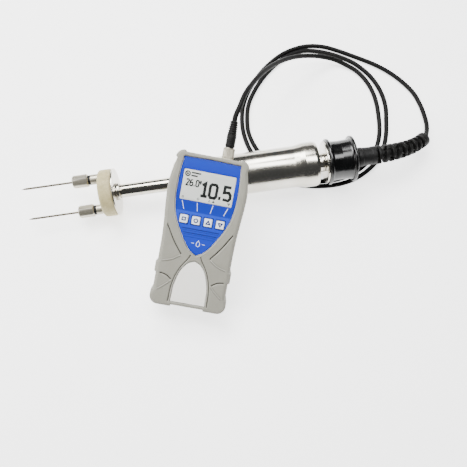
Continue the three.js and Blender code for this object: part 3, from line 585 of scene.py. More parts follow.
def addEndCap():
    start, end = backEnd["cap"]
    flange, width, barrel = backEnd["capFlange"], backEnd["capFlangeWidth"], backEnd["capBarrel"]
    waist = barrel - 0.5
    middle = (start + end) / 2
    addTurned("endCap", [
        (start, rod["bore"] + 3), (start, flange), (start + width, flange), (start + width, barrel + 0.4),
        (start + width + 2, barrel), (middle, waist), (end - width - 2, barrel), (end - width, barrel + 0.4),
        (end - width, flange), (end, flange), (end, flange - 6), (end - 0.8, flange - 6.6),
        (end - 0.8, 13.5), (end, 13), (end, rod["bore"]), (end - 3, rod["bore"]), (end - 3, rod["bore"] + 3)],
        capAbs, 1.5, True, 144, stands=["end_cap"], sharp=50)
    low, high, outer = backEnd["glandNut"]
    grips = []
    for k in range(12):
        station = low + 0.5 + (high - low - 1) * k / 11
        grips.append((station, outer - (0.35 if k % 2 else 0)))
    addTurned("glandNut", [(low, rod["bore"])] + grips + [(high, rod["bore"])], blackElastomer,
              0.2, True, stands=["gland_nut"])
    low, high = backEnd["glandSleeve"]
    first, final = backEnd["glandRadius"]
    addTurned("glandSleeve", [
        (low, rod["bore"]), (low, first), (low + 4, first), (low + 4.6, first - 0.5), (high - 5, final - 0.3),
        (high - 4.4, final), (high, final), (high, rod["bore"])], blackElastomer, 0.5, True,
        stands=["gland_sleeve"])


def finShape(inner, outer, width, startAngle, sweep, steps=26):
    # one fin of a rib, in metres about z
    section = softCorners([(inner, 0), (outer, 0), (outer, width), (inner, width)], 0.7, True, 3)
    points, faces = [], []
    for k in range(steps + 1):
        angle = math.radians(startAngle + sweep * k / steps)
        for radius, level in section:
            points.append((radius * math.cos(angle) * mm, radius * math.sin(angle) * mm, level * mm))
    count = len(section)
    for k in range(steps):
        for i in range(count):
            n = (i + 1) % count
            faces.append((k * count + i, k * count + n, (k + 1) * count + n, (k + 1) * count + i))
    faces.append(tuple(range(count)))
    faces.append(tuple(steps * count + i for i in reversed(range(count))))
    return points, faces


def plainObject(name, shapes):
    points, faces = [], []
    for morePoints, moreFaces in shapes:
        faces += [[i + len(points) for i in face] for face in moreFaces]
        points += morePoints
    mesh = bpy.data.meshes.new(name)
    mesh.from_pydata(points, [], faces)
    solid = bmesh.new()
    solid.from_mesh(mesh)
    bmesh.ops.recalc_face_normals(solid, faces=solid.faces)
    solid.to_mesh(mesh)
    solid.free()
    made = bpy.data.objects.new(name, mesh)
    bpy.context.scene.collection.objects.link(made)
    return made


def cutLine(line, start, end):
    # the part of a path between two shares of its points
    low, high = int(start * (len(line) - 1)), int(end * (len(line) - 1))
    return line[low:high + 1]


def addStrainRelief():
    facts = strainRelief
    core = runTree(tubeAlongPath, lineMesh(reliefLine), {
        "Radius": facts["core"] * mm, "Sides": 40, "Material": reliefElastomer})
    fins = plainObject("fins", [
        finShape(facts["core"] - 1, facts["ribRadius"][0], facts["ribWidth"], start, facts["ribArc"])
        for start in (0, 180)])
    collar = plainObject("collar", [finShape(
        facts["core"] - 1, facts["ribRadius"][1], facts["collarWidth"], 0, 359.9, 48)])
    ribs = runTree(copiesAlongPath, lineMesh(cutLine(reliefLine, 0.03, 0.86)), {
        "Copy": fins, "Count": facts["ribs"], "Turn": math.pi / 2,
        "End Size": facts["ribRadius"][1] / facts["ribRadius"][0], "Material": reliefElastomer})
    tip = runTree(copiesAlongPath, lineMesh(cutLine(reliefLine, 0.9, 0.96)), {
        "Copy": collar, "Count": 1, "Turn": 0.0, "End Size": 1.0, "Material": reliefElastomer})
    whole = bmesh.new()
    for mesh in (core, ribs, tip):
        whole.from_mesh(mesh)
    joined = bpy.data.meshes.new("strainRelief")
    whole.to_mesh(joined)
    whole.free()
    for helper in (fins, collar):
        bpy.data.objects.remove(helper)
    finishPiece("strainRelief", joined, "instrument", reliefElastomer, ["strain_relief"])


pins = {
    "roll": 30, "spacing": 31.4, "radius": 1.05, "tip": -80.3, "length": 68, "point": 5.5,
    "nut": (-27, -11.4), "flats": 11.7, "ring": (-11.1, -8.9, 5), "collar": (-8.6, -0.3, 5.2), "thread": 3.3,
}


def hexNutShape(start, end, flats, bore, sides=96):
    # a hexagonal bar turned down at its ends, which leaves an arc on each flat
    corner = flats / math.sqrt(3)
    stations = [(start, flats / 2 - 0.6), (start, flats / 2 - 0.3), (start + 0.5, flats / 2 + 0.15)]
    stations += [(start + 1.2, corner + 0.1), (end - 0.8, corner + 0.1), (end - 0.25, flats / 2 + 0.15)]
    stations += [(end, flats / 2 - 0.2)]
    points, faces = [], []
    for station, limit in stations:
        for k in range(sides):
            angle = 2 * math.pi * k / sides
            toFlat = (angle + math.pi / 6) % (math.pi / 3) - math.pi / 6
            radius = min(limit, flats / 2 / math.cos(toFlat), corner - 0.12)
            points.append((station, radius * math.cos(angle), radius * math.sin(angle)))
    for station in (end, start):
        for k in range(sides):
            angle = 2 * math.pi * k / sides
            points.append((station, bore * math.cos(angle), bore * math.sin(angle)))
    rings = len(stations) + 2
    for ring in range(rings):
        following = (ring + 1) % rings
        for k in range(sides):
            n = (k + 1) % sides
            faces.append((ring * sides + k, ring * sides + n, following * sides + n, following * sides + k))
    return points, faces


def addPin(place, side):
    roll = math.radians(pins["roll"])
    offset = Vector((0, math.cos(roll), math.sin(roll))) * side * pins["spacing"] / 2
    axis = electrodePlace @ Matrix.Translation(offset)
    tip, radius = pins["tip"], pins["radius"]
    addTurned(place + "Pin", [
        (tip, 0), (tip + 0.15, 0.12), (tip + pins["point"] * 0.6, radius * 0.8), (tip + pins["point"], radius),
        (tip + pins["length"], radius), (tip + pins["length"], 0)], pinSteel, 0.4, sides=32,
        place=axis, stands=[place + "_pin"])
    low, high = pins["nut"]
    mesh = meshFrom(*hexNutShape(low, high, pins["flats"], radius + 0.3), axis)
    finishPiece(place + "CapNut", mesh, place + "_nut", nickelPlate, [place + "_cap_nut"], 25)
    low, high, outer = pins["ring"]
    addTurned(place + "SealingRing", ringProfile(low, high, outer, pins["thread"] + 0.3), blackElastomer,
              0.8, True, 64, axis, stands=[place + "_sealing_ring"])
    low, high, outer = pins["collar"]
    thread, front, depth = pins["thread"], pins["nut"][0] + 4, 9
    addTurned(place + "Stud", [
        (front, radius + 0.3), (front, thread), (low, thread), (low, outer), (high, outer), (high, thread),
        (depth, thread), (depth, radius + 0.3)], nickelPlate, 0.35, True, 64, axis,
        stands=[place + "_stud"])


addHead()
addRod()
addHammer()
addEndCap()
addStrainRelief()
addPin("rear", 1)
addPin("front", -1)
print("electrode built")


# Meter

# Sleeve: moulded grey thermoplastic rubber, matt, with a fine grain, painted shade darkening its grooves and a
# painted highlight on its edges
sleeveRubber = surface("greyRubberMoulded", {
    "colour": "#8f8d82", "variation": "#8a887d", "patch": 16, "grain": 0.3, "depth": 0.02,
    "speckle": "#a3a298", "speckleSize": 0.9, "speckleAmount": 0.25,
    "roughness": (0.55, 0.68), "ior": 1.45, "edge": "#bdbcb4", "edgeHighlightAmount": 0.5,
    "hollow": "#2e2d29", "hollowAmount": 0.9})
# Shells: moulded ABS in warm white, spark-eroded to a soft satin, with a painted highlight on its edges
shellAbs = surface("warmWhiteAbs", {
    "colour": "#fffdf6", "variation": "#fbf8ef", "patch": 20, "grain": 0.35, "depth": 0.008,
    "roughness": (0.38, 0.5), "ior": 1.53, "edge": "#fffdf8", "edgeHighlightAmount": 0.3, "onCad": True})

filmTones = [
    (-22, "#0c24a6"), (-4, "#0f2aae"), (8, "#1632b6"), (17.8, "#1e3ebf"), (18.6, "#061c96"), (28, "#05188e"),
    (45, "#061ea4"), (57, "#0820a0"), (68, "#0e2aa4"),
]


def filmPaint(tree, where, paint):
    # printed bands across the face
    low, high = filmTones[0][0], filmTones[-1][0]
    up = addNode(tree, "ShaderNodeSeparateXYZ", {0: where}).outputs["Y"]
    share = addNode(tree, "ShaderNodeMapRange", {"Value": up, "From Min": low, "From Max": high}).outputs[0]
    ramp = addNode(tree, "ShaderNodeValToRGB", {"Fac": share})
    stops = ramp.color_ramp.elements
    while len(stops) < len(filmTones):
        stops.new(0.5)
    for stop, (level, tone) in zip(stops, filmTones):
        stop.position = (level - low) / (high - low)
        stop.color = linear(tone)
    return addNode(tree, "ShaderNodeMix", {
        0: 0.12, 6: ramp.outputs["Color"], 7: paint}, data_type="RGBA").outputs[2]


# Face film: screen-printed polycarbonate, a fine matt texture under a weak gloss
faceFilm = surface("printedPolycarbonateFilm", {
    "colour": "#3f66d4", "variation": "#3a60cc", "patch": 10, "grain": 0.2, "depth": 0.006,
    "roughness": (0.34, 0.44), "ior": 1.58, "specular": 0.2, "paint": filmPaint})
# Display: pale reflective LCD behind clear acrylic
lcdGlass = surface("reflectiveLcdUnderAcrylic", {
    "colour": "#d6d8d3", "variation": "#cfd2cd", "patch": 12, "grain": 0.35, "depth": 0.001,
    "roughness": (0.3, 0.36), "ior": 1.49, "coat": 1, "coatRoughness": 0.04})
lcdInk = surface("lcdSegments", {
    "colour": "#171918", "variation": "#1d201f", "patch": 5, "grain": 0.3, "depth": 0.001,
    "roughness": (0.25, 0.3), "ior": 1.49, "coat": 1, "coatRoughness": 0.04})
# Keys: moulded silicone with a hard clear lacquer, cool white, with a painted highlight on their edges
keyLacquer = surface("lacqueredSiliconeKey", {
    "colour": "#f2f5ff", "variation": "#e8edfb", "patch": 3, "grain": 0.25, "depth": 0.006,
    "roughness": (0.28, 0.4), "ior": 1.5, "edge": "#ffffff", "edgeHighlightAmount": 0.4})
whiteInk = surface("whiteScreenInk", {
    "colour": "#dfe6fb", "variation": "#cdd7f6", "patch": 3, "grain": 0.2, "depth": 0.004,
    "roughness": (0.4, 0.5)})
# Dark blue screen ink for the printed rules and key marks; also the painted shadow frame around each key
darkInkAndKeyShadow = surface("darkBlueScreenInkAndPaintedKeyShadow", {
    "colour": "#07144f", "variation": "#0a1a5c", "patch": 3, "grain": 0.2, "depth": 0.004,
    "roughness": (0.4, 0.5)})

meter = {
    "halfLength": 72.3, "thickness": 33, "cornerRadius": 6.5, "edge": 4, "sleeveWall": 2.7,
    "side": [(34.8, -30), (35, -4), (37.3, 30), (37.5, 42), (35.4, 57)],
    "baseHalfWidth": 35, "topHalfWidth": 33, "padRise": 1.6,
    "slimRim": (60, 6, 2.3),           # beyond |v|, over, how much the edge's rounding shrinks
    "pads": [(-43.4, -33, 0), (-90, -60, 15.6), (66, 90, 26.3)],      # from v, to v, beyond |u|
    "face": (30.3, 31.5),
    "shield": [(0, -21.7), (5.6, -18.6), (11.5, -12), (18.9, 0), (24.6, 12), (27.7, 26), (28.4, 40), (27.8, 54),
               (26.4, 68)],
    "arch": [(15.9, -54), (13.7, -44), (10.4, -36), (5.6, -30), (0, -27.8)],
    "archFoot": (16.3, -68.6),
    "door": (26.9, -68.3, -11),        # half width, from v, to v
}
grooves = [
    # a line on the right half, its half width, and how high it stands
    ([(35.5, 9.5), (30, 1), (22.5, -11.5), (14.1, -22.6)], 0.6, -1.3),
    ([(14.6, -24), (22, -28.8), (35.5, -32.6)], 0.45, 0.6),
    ([(19.8, -47.6), (24, -44.8), (29, -43.6), (36, -43.2)], 0.6, -1.3),
    ([(18.9, -48.6), (25, -54.6), (32.5, -60.6)], 0.45, 0.6),
    ([(5, -22.6), (6.5, -26), (9.9, -31), (13.2, -37), (16.2, -45), (18.1, -55), (18.7, -69)], 0.5, -0.9),
]


def bend(points, perSpan=8):
    line = catmullRom([Vector((u, v, 0)) for u, v in points], perSpan)
    return [(point.x, point.y) for point in line]


def corner(u, v, radius, start, steps=10):
    angles = [math.radians(start + 90 * k / steps) for k in range(steps + 1)]
    return [(u + radius * math.cos(a), v + radius * math.sin(a)) for a in angles]


def evenLoop(points, count):
    points = np.array(points + points[:1])
    reach = np.concatenate([[0], np.cumsum(np.hypot(*np.diff(points, axis=0).T))])
    at = np.linspace(0, reach[-1], count, endpoint=False)
    return np.stack([np.interp(at, reach, points[:, 0]), np.interp(at, reach, points[:, 1])], 1)


def mirrored(half):
    return half + [(-u, v) for u, v in reversed(half) if abs(u) > 1e-9]


def grown(loop, amount):
    along = np.roll(loop, -1, 0) - np.roll(loop, 1, 0)
    along /= np.hypot(*along.T)[:, None]
    outward = np.stack([along[:, 1], -along[:, 0]], 1)
    return loop + outward * np.reshape(amount, (-1, 1))


def meterLoop(count=760):
    radius, end = meter["cornerRadius"], meter["halfLength"] - meter["cornerRadius"]
    low = corner(meter["baseHalfWidth"] - radius, -end, radius, -90)
    high = corner(meter["topHalfWidth"] - radius, end, radius, 0)
    side = bend([low[-1]] + meter["side"] + [high[0]], 12)
    foot, head = [(0, -meter["halfLength"])], [(0, meter["halfLength"])]
    return evenLoop(mirrored(foot + low + side[1:-1] + high + head), count)


def shieldLoop(count=420):
    half = bend(meter["shield"], 10)
    return evenLoop(mirrored(half + [(0, meter["shield"][-1][1] + 0.6)]), count)


def archLoop(count=260):
    return evenLoop(mirrored([(0, meter["archFoot"][1]), meter["archFoot"]] + bend(meter["arch"], 10)), count)


def boxLoop(u0, u1, v0, v1, radius, count=120):
    loop = corner(u1 - radius, v0 + radius, radius, -90) + corner(u1 - radius, v1 - radius, radius, 0)
    loop += corner(u0 + radius, v1 - radius, radius, 90) + corner(u0 + radius, v0 + radius, radius, 180)
    return evenLoop(loop, count)


def isInside(points, loop):
    x, y = points[:, :1], points[:, 1:]
    (ax, ay), (bx, by) = loop.T, np.roll(loop, -1, 0).T
    level = np.where(by == ay, 1e-9, by - ay)
    hits = ((ay > y) != (by > y)) & (x < ax + (y - ay) * (bx - ax) / level)
    return hits.sum(1) % 2 == 1


def distanceTo(points, line):
    nearest = np.full(len(points), 1e9)
    for start, end in zip(np.array(line), np.array(line[1:])):
        way = end - start
        share = np.clip((points - start) @ way / (way @ way), 0, 1)
        nearest = np.minimum(nearest, np.hypot(*(points - start - share[:, None] * way).T))
    return nearest


class Shell:
    # gathers rings and flat sheets that share their edges, in the meter's millimetres

    def __init__(self):
        self.points = []
        self.faces = []

    def ring(self, loop, level):
        first = len(self.points)
        levels = np.broadcast_to(level, len(loop))
        self.points += [(u, v, w) for (u, v), w in zip(loop, levels)]
        return range(first, len(self.points))

    def bridge(self, *rings):
        for ring, following in zip(rings, rings[1:]):
            for k in range(len(ring)):
                n = (k + 1) % len(ring)
                self.faces.append((ring[k], ring[n], following[n], following[k]))
        return rings[-1]

    def sheet(self, outer, holes, spacing, level, reliefAt=None):
        rings = [outer] + holes
        loops = [np.array([self.points[i][:2] for i in ring]) for ring in rings]
        low, high = loops[0].min(0), loops[0].max(0)
        rows = np.arange(low[1], high[1], spacing * 0.87)
        grid = np.array([(u + (k % 2) * spacing / 2, v) for k, v in enumerate(rows)
                         for u in np.arange(low[0], high[0], spacing)])
        keep = isInside(grid, loops[0])
        for loop in loops[1:]:
            keep &= ~isInside(grid, loop)
        grid = grid[keep]
        for loop in loops:
            closed = np.vstack([loop, loop[:1]])
            grid = grid[distanceTo(grid, closed) > spacing * 0.55]
        first = len(self.points)
        lift = reliefAt(grid) if reliefAt else np.zeros(len(grid))
        self.points += [(u, v, level + rise) for (u, v), rise in zip(grid, lift)]
        known = [i for ring in rings for i in ring] + list(range(first, len(self.points)))
        flat = [Vector(self.points[i][:2]) for i in known]
        edges, start = [], 0
        for ring in rings:
            edges += [(start + k, start + (k + 1) % len(ring)) for k in range(len(ring))]
            start += len(ring)
        made = geometry.delaunay_2d_cdt(flat, edges, [], 0, 1e-5)
        corners = np.array(made[2])
        centres = np.array([made[0][i] for i in corners.ravel()]).reshape(-1, 3, 2).mean(1)
        keep = isInside(centres, loops[0])
        for loop in loops[1:]:
            keep &= ~isInside(centres, loop)
        for triangle in corners[keep]:
            self.faces.append([known[made[3][i][0]] for i in triangle])

    def plate(self, outer, holes, low, high, edge, spacing, steps=4):
        angles = [math.pi / 2 * k / steps for k in range(steps + 1)]
        rim = [self.ring(grown(outer, edge * (math.sin(a) - 1)), high - edge * (1 - math.cos(a)))
               for a in angles]
        foot = self.bridge(*rim, self.ring(outer, low))
        lips, floors = [], []
        for hole in holes:
            lip = [self.ring(grown(hole, edge * (1 - math.sin(a))), high - edge * (1 - math.cos(a)))
                   for a in angles]
            floors.append(self.bridge(*lip, self.ring(hole, low)))
            lips.append(lip[0])
        self.sheet(rim[0], lips, spacing, high)
        self.sheet(foot, floors, spacing * 2, low)


def sleeveRelief(points):
    right = np.stack([np.abs(points[:, 0]), points[:, 1]], 1)
    height = np.zeros(len(points))
    for line, width, rise in grooves:
        height += rise * np.exp(-(distanceTo(right, bend(line)) / width) ** 2)
    return height


def padsOn(loop):
    rise = np.zeros(len(loop))
    for low, high, beyond in meter["pads"]:
        soft = 0.7
        up = np.clip((loop[:, 1] - low) / soft + 0.5, 0, 1) * np.clip((high - loop[:, 1]) / soft + 0.5, 0, 1)
        out = np.clip((np.abs(loop[:, 0]) - beyond) / soft + 0.5, 0, 1)
        part = up * out
        rise = np.maximum(rise, part * part * (3 - 2 * part))
    return rise * meter["padRise"]


def addSleeve():
    shell = Shell()
    outer = meterLoop()
    pads = padsOn(outer)
    wall, top = meter["sleeveWall"], meter["thickness"]
    nearEnds = np.clip((np.abs(outer[:, 1]) - meter["slimRim"][0]) / meter["slimRim"][1], 0, 1)
    edge = meter["edge"] - meter["slimRim"][2] * nearEnds * nearEnds * (3 - 2 * nearEnds)
    angles = [math.pi / 2 * k / 9 for k in range(10)]
    front = [
        shell.ring(grown(outer, edge * (math.sin(a) - 1) + pads * math.sin(a)), top - edge * (1 - math.cos(a)))
        for a in angles]
    back = [shell.ring(grown(outer, edge * (math.sin(a) - 1) + pads * math.sin(a)), edge * (1 - math.cos(a)))
            for a in reversed(angles)]
    shell.bridge(*front, *back)
    lips, throats = [], []
    for loop, gap in ((shieldLoop(), 0.6), (archLoop(), 0.5)):
        lip = [shell.ring(grown(loop, gap + 0.7), top), shell.ring(grown(loop, gap + 0.2), top - 0.2),
               shell.ring(grown(loop, gap), top - 0.7), shell.ring(grown(loop, gap), top - wall)]
        throats.append(shell.bridge(*lip))
        lips.append(lip[0])
    shell.sheet(front[0], lips, 0.45, top, sleeveRelief)
    inside = [shell.ring(grown(outer, -wall - 0.3), top - wall),
              shell.ring(grown(outer, -wall), top - wall - 0.3),
              shell.ring(grown(outer, -wall), wall + 0.3), shell.ring(grown(outer, -wall - 0.3), wall)]
    shell.bridge(*inside)
    shell.sheet(inside[0], throats, 4, top - wall)
    half, low, high = meter["door"]
    door = boxLoop(-half, half, low, high, 2, 200)
    frame = [shell.ring(grown(door, 0.5), 0), shell.ring(door, 0.5), shell.ring(door, wall)]
    shell.sheet(inside[-1], [shell.bridge(*frame)], 4, wall)
    shell.sheet(back[-1], [frame[0]], 3, 0)
    mesh = meshFrom(shell.points, shell.faces, meterPlace)
    piece = finishPiece("protectiveSleeve", mesh, "instrument", sleeveRubber,
                        ["protective_sleeve"], 55)
    return piece


def addPlate(name, outer, holes, low, high, edge, spacing, material, stands, body="instrument",
             extra=None):
    shell = Shell()
    shell.plate(outer, holes, low, high, edge, spacing)
    if extra:
        points, faces = extra
        shell.faces += [[i + len(shell.points) for i in face] for face in faces]
        shell.points += points
    return finishPiece(name, meshFrom(shell.points, shell.faces, meterPlace), body, material, stands)


display = {"halfWidth": 24.8, "low": 28.3, "high": 57.1, "gap": 0.3, "level": 31.3, "cornerRadius": 0.8}
keys = {
    "size": 7.5, "pitch": 11.5, "row": 10.7, "low": 31, "high": 32.7, "gap": 0.35, "stem": 2.2, "stemLow": 26.6,
    "names": ["key_select", "key_power", "key_up", "key_down"],
}


def keyCentres():
    return [(step * keys["pitch"], keys["row"]) for step in (-1.5, -0.5, 0.5, 1.5)]


def squareLoop(centre, half, radius, count=72):
    u, v = centre
    return boxLoop(u - half, u + half, v - half, v + half, radius, count)


def strokeShape(line, width, level, thickness=0.05, closed=False):
    # a flat ribbon along a line, mitred at its corners
    line = np.array(line, dtype=float)
    count = len(line)
    sidesAt = []
    for k in range(count):
        here = line[k]
        before = line[k - 1] if closed or k else here * 2 - line[1]
        after = line[(k + 1) % count] if closed or k < count - 1 else here * 2 - line[-2]
        a = (here - before) / np.hypot(*(here - before))
        b = (after - here) / np.hypot(*(after - here))
        out = np.array([a[1] + b[1], -a[0] - b[0]])
        out /= np.hypot(*out)
        reach = width / 2 / max(0.35, out[0] * a[1] - out[1] * a[0])
        sidesAt.append((here + out * reach, here - out * reach))
    points, faces = [], []
    for right, left in sidesAt:
        points += [(*right, level), (*left, level), (*left, level - thickness), (*right, level - thickness)]
    spans = count if closed else count - 1
    for k in range(spans):
        a, b = 4 * k, 4 * ((k + 1) % count)
        faces += [(a + i, a + (i + 1) % 4, b + (i + 1) % 4, b + i) for i in range(4)]
    if not closed:
        faces += [(0, 1, 2, 3), (4 * count - 1, 4 * count - 2, 4 * count - 3, 4 * count - 4)]
    return points, faces


def addInk(name, strokes, level, material, body="instrument"):
    points, faces = [], []
    for line, width, closed in strokes:
        morePoints, moreFaces = strokeShape(line, width, level, closed=closed)
        faces += [[i + len(points) for i in face] for face in moreFaces]
        points += morePoints
    return finishPiece(name, meshFrom(points, faces, meterPlace), body, material, [])


def circle(centre, radius, start=0, sweep=360, steps=28):
    angles = [math.radians(start + sweep * k / steps) for k in range(steps + (sweep < 360))]
    return [(centre[0] + radius * math.cos(a), centre[1] + radius * math.sin(a)) for a in angles]


glyphs = {
    # lines in a cell 1 wide and 1 high
    "0": [([(0, 0.15), (0.2, 0), (0.8, 0), (1, 0.15), (1, 0.85), (0.8, 1), (0.2, 1), (0, 0.85)], True)],
    "1": [([(0.1, 0.82), (0.55, 0.98), (0.55, 0)], False), ([(0.05, 0.02), (1, 0.02)], False)],
    "2": [([(0, 0.85), (0.25, 1), (0.8, 1), (1, 0.8), (0, 0.02), (1, 0.02)], False)],
    "5": [([(0.95, 1), (0.08, 1), (0.05, 0.55), (0.7, 0.6), (1, 0.42), (1, 0.15), (0.75, 0), (0, 0.04)], False)],
    "6": [([(0.9, 1), (0.3, 0.95), (0, 0.5), (0, 0.15), (0.2, 0), (0.8, 0), (1, 0.15), (1, 0.4), (0.8, 0.55),
            (0.1, 0.5)], False)],
    ".": [([(0.1, 0.07), (0.9, 0.07)], False)],
    "o": [([(0.1, 0.75), (0.3, 1), (0.7, 1), (0.9, 0.75), (0.7, 0.5), (0.3, 0.5)], True)],
}


def writeNumber(text, start, low, height, width, gap, weight):
    strokes = []
    for mark in text:
        size = width * (0.45 if mark in ".o" else 1)
        for line, closed in glyphs[mark]:
            thick = weight * (1.15 if mark == "." else 0.7 if mark == "o" else 1)
            strokes.append(([(start + u * size, low + v * height) for u, v in line], thick, closed))
        start += size + gap
    return strokes


def addFace():
    low, high = meter["face"]
    window = boxLoop(-display["halfWidth"], display["halfWidth"], display["low"], display["high"],
                     display["cornerRadius"])
    holes = [squareLoop(centre, keys["size"] / 2 + keys["gap"], 0.9) for centre in keyCentres()]
    addPlate("facePlate", shieldLoop(), [window] + holes, low, high, 0.35, 1.5, faceFilm,
             ["face_plate"])
    addPlate("displayWindow", grown(window, -display["gap"]), [], low, display["level"], 0.15, 4, lcdGlass,
             ["display_window"])
    top = display["level"] + 0.02
    strokes = writeNumber("10.5", -6.4, 34.3, 12.4, 6.6, 1.8, 2.7)
    strokes += writeNumber("26.0o", -20.8, 42.1, 5.6, 2.5, 1, 1.2)
    strokes += [(circle((-20.8, 52.8), 2.1), 1.1, True), (circle((-20.8, 52.8), 0.5), 0.9, True)]
    strokes += [([(-17.4, 54.2), (-8.6, 54.2)], 1.4, False), ([(-17.4, 51.5), (-11.4, 51.5)], 1.4, False)]
    strokes += [([(-22.6, 30.2), (-21.2, 30.2), (-21.2, 31.6), (-22.6, 31.6)], 0.4, True)]
    strokes += [(circle((-7.4, 31), 0.9), 0.4, True)]
    strokes += [([(2.4, 30.3), (4, 30.3), (3.2, 31.7)], 0.4, True),
                ([(6.2, 30.3), (7.8, 30.3), (7, 31.7)], 0.6, True)]
    strokes += [([(20.6, 31.8), (22.4, 31.8), (21.5, 30.3)], 0.6, True)]
    addInk("displaySegments", strokes, top, lcdInk)
    top = high + 0.03
    lines = [([(side * 21.7, 27.4), (side * 18.9, 19.6)], 0.55, False) for side in (-1, 1)]
    lines += [([(side * 7.5, 27.4), (side * 6.1, 19.6)], 0.55, False) for side in (-1, 1)]
    drop = [(0, -7.6), (1.4, -9.8), (1.7, -11.4), (1.2, -12.8), (0, -13.4), (-1.2, -12.8),
            (-1.7, -11.4), (-1.4, -9.8)]
    lines += [([(u, v) for u, v in drop], 0.55, True), ([(-6.5, -10.6), (-3.6, -10.6)], 0.45, False)]
    lines += [([(3.6, -10.6), (6.5, -10.6)], 0.45, False)]
    addInk("faceGuideLines", lines, top, whiteInk)
    rulesAndKeyShadows = [([(-half, level), (half, level)], thick, False) for half, level, thick in (
        (17.9, 2.3, 0.8), (17.2, 0.6, 0.35), (16.2, -1.6, 0.8), (15.4, -3.2, 0.35), (14.6, -5.4, 0.35))]
    # painted shadow: a dark frame drawn around each key stands in for the shade in the gap beside it
    reach = keys["size"] / 2 + keys["gap"] + 0.35
    rulesAndKeyShadows += [([(u + a * reach, v + b * reach) for a, b in ((-1, 1), (-1, -1), (1, -1), (1, 1))], 0.6, True)
              for u, v in keyCentres()]
    addInk("faceRules", rulesAndKeyShadows, top, darkInkAndKeyShadow)


def addKeys():
    marks = [
        [([(-1.5, -1.3), (1.5, -1.3), (1.5, 1.3), (-1.5, 1.3)], 1.1, True)],
        [(circle((0, 0), 1.7, 120, 300, 26), 1.15, False), ([(0, 0.6), (0, 2.2)], 1, False)],
        [([(-1.8, -1.3), (1.8, -1.3), (0, 1.6)], 1.1, True)],
        [([(1.8, 1.3), (-1.8, 1.3), (0, -1.6)], 1.1, True)],
    ]
    half = keys["size"] / 2
    for name, (u, v), strokes in zip(keys["names"], keyCentres(), marks):
        stem = Shell()
        post = np.array(circle((u, v), keys["stem"]))
        ends = stem.ring(post, keys["stemLow"]), stem.ring(post, keys["low"] + 0.3)
        stem.bridge(*ends)
        stem.faces += [list(end) for end in ends]
        words = name.split("_")
        piece = words[0] + words[1].capitalize()
        addPlate(piece, squareLoop((u, v), half, 0.9), [], keys["low"], keys["high"], 0.45, 1.2, keyLacquer,
                 [name], name + "_body", (stem.points, stem.faces))
        moved = [([(u + a, v + b) for a, b in line], width, closed) for line, width, closed in strokes]
        addInk(piece + "Mark", moved, keys["high"] + 0.02, darkInkAndKeyShadow, name + "_body")


plug = {
    "flange": (69.6, 71.2, 6.8), "ring": (71.7, 83.5, 5.6, 4.5), "barrel": (84.2, 96.5, 4.7),
    "boot": (96.8, 109.2), "socket": (60.3, 79.2, 4.2, 4.7), "bore": (73.2, 3.4),
    "knurls": 26, "knurlDepth": 0.32, "knurlPitch": 1.35,
}
socketStand = Matrix.Translation((plugTurnAt.x, 0, plugTurnAt.z))
socketPlace = meterPlace @ socketStand @ Matrix.Rotation(math.pi / 2, 4, "Z")


def knurledShape(start, end, outer, inner, sides=208, rows=84):
    # diamond knurl between two plain rims
    points, faces, rings = [], [], []
    stations = [(start + (end - start) * k / rows, True) for k in range(rows + 1)]
    stations += [(end, False), (start, False)]
    for station, isOuter in stations:
        rings.append(range(len(points), len(points) + sides))
        edge = min(station - start, end - station)
        band = min(1, max(0, (edge - 0.9) / 0.4))
        for k in range(sides):
            angle = 2 * math.pi * k / sides
            turnBy = plug["knurls"] * angle
            along = 2 * math.pi * station / plug["knurlPitch"] / 2
            cut = max(abs(math.cos((turnBy + along) / 2)), abs(math.cos((turnBy - along) / 2)))
            radius = outer - max(0, 0.25 - edge) * 0.8 - band * plug["knurlDepth"] * (1 - (1 - cut) * 2.6)
            radius = min(outer, radius) if isOuter else inner
            points.append((station, radius * math.cos(angle), radius * math.sin(angle)))
    for ring, following in zip(rings, rings[1:] + rings[:1]):
        for k in range(sides):
            n = (k + 1) % sides
            faces.append((ring[k], ring[n], following[n], following[k]))
    return points, faces


def addPlug():
    low, high, outer = plug["flange"]
    start, end, radius, shank = plug["socket"]
    floorAt, bore = plug["bore"]
    addTurned("panelSocket", [
        (start, 0), (start, shank), (low, shank), (low, outer), (high, outer), (high, radius), (end, radius),
        (end, bore), (floorAt, bore), (floorAt, 0)],
        nickelPlate, 0.25, sides=72, place=socketPlace,
        stands=["panel_socket"])
    start, end, outer, inner = plug["ring"]
    mesh = meshFrom(*knurledShape(start, end, outer, inner), socketPlace)
    finishPiece("plugRing", mesh, "plug_ring_body", nickelPlate, ["plug_ring"], 60)
    start, end, outer = plug["barrel"]
    profile = [(start, 0), (start, outer - 0.5), (start + 1, outer - 0.5), (start + 1.2, outer)]
    for k in range(4):
        at = start + 3 + k * 1.6
        profile += [(at, outer), (at + 0.2, outer - 0.35), (at + 0.7, outer - 0.35), (at + 0.9, outer)]
    profile += [(end - 0.3, outer - 0.1), (end, outer - 0.6), (end, 0)]
    addTurned("plugBarrel", profile, blackElastomer, 0.15, sides=72,
                                place=socketPlace, stands=["plug_barrel"])
    start, end = plug["boot"]
    slim = cable["radius"] + 0.8
    profile = [(start, 0), (start, outer - 0.4)]
    for k in range(5):
        at = start + 1.5 + k * 2.05
        thick = outer - 0.05 - k * 0.14
        profile += [(at, thick), (at + 0.3, thick - 0.8), (at + 1, thick - 0.85), (at + 1.3, thick - 0.2)]
    profile += [(end - 0.6, slim + 0.7), (end, slim), (end, 0)]
    addTurned("plugBoot", profile, blackElastomer, 0.25, sides=72,
                                place=socketPlace, stands=["plug_boot"])


addSleeve()
addFace()
addKeys()
addPlug()
print("meter built")


# CAD pieces shown as they are, mostly inside, with their own finishes

def cadSurface(name, colour, variation, roughness, metallic=0, patch=4, grain=0.3, depth=0.006, **more):
    return surface(name, {
        "colour": colour, "variation": variation, "patch": patch, "grain": grain, "depth": depth,
        "roughness": roughness, "metallic": metallic, "onCad": True, **more})


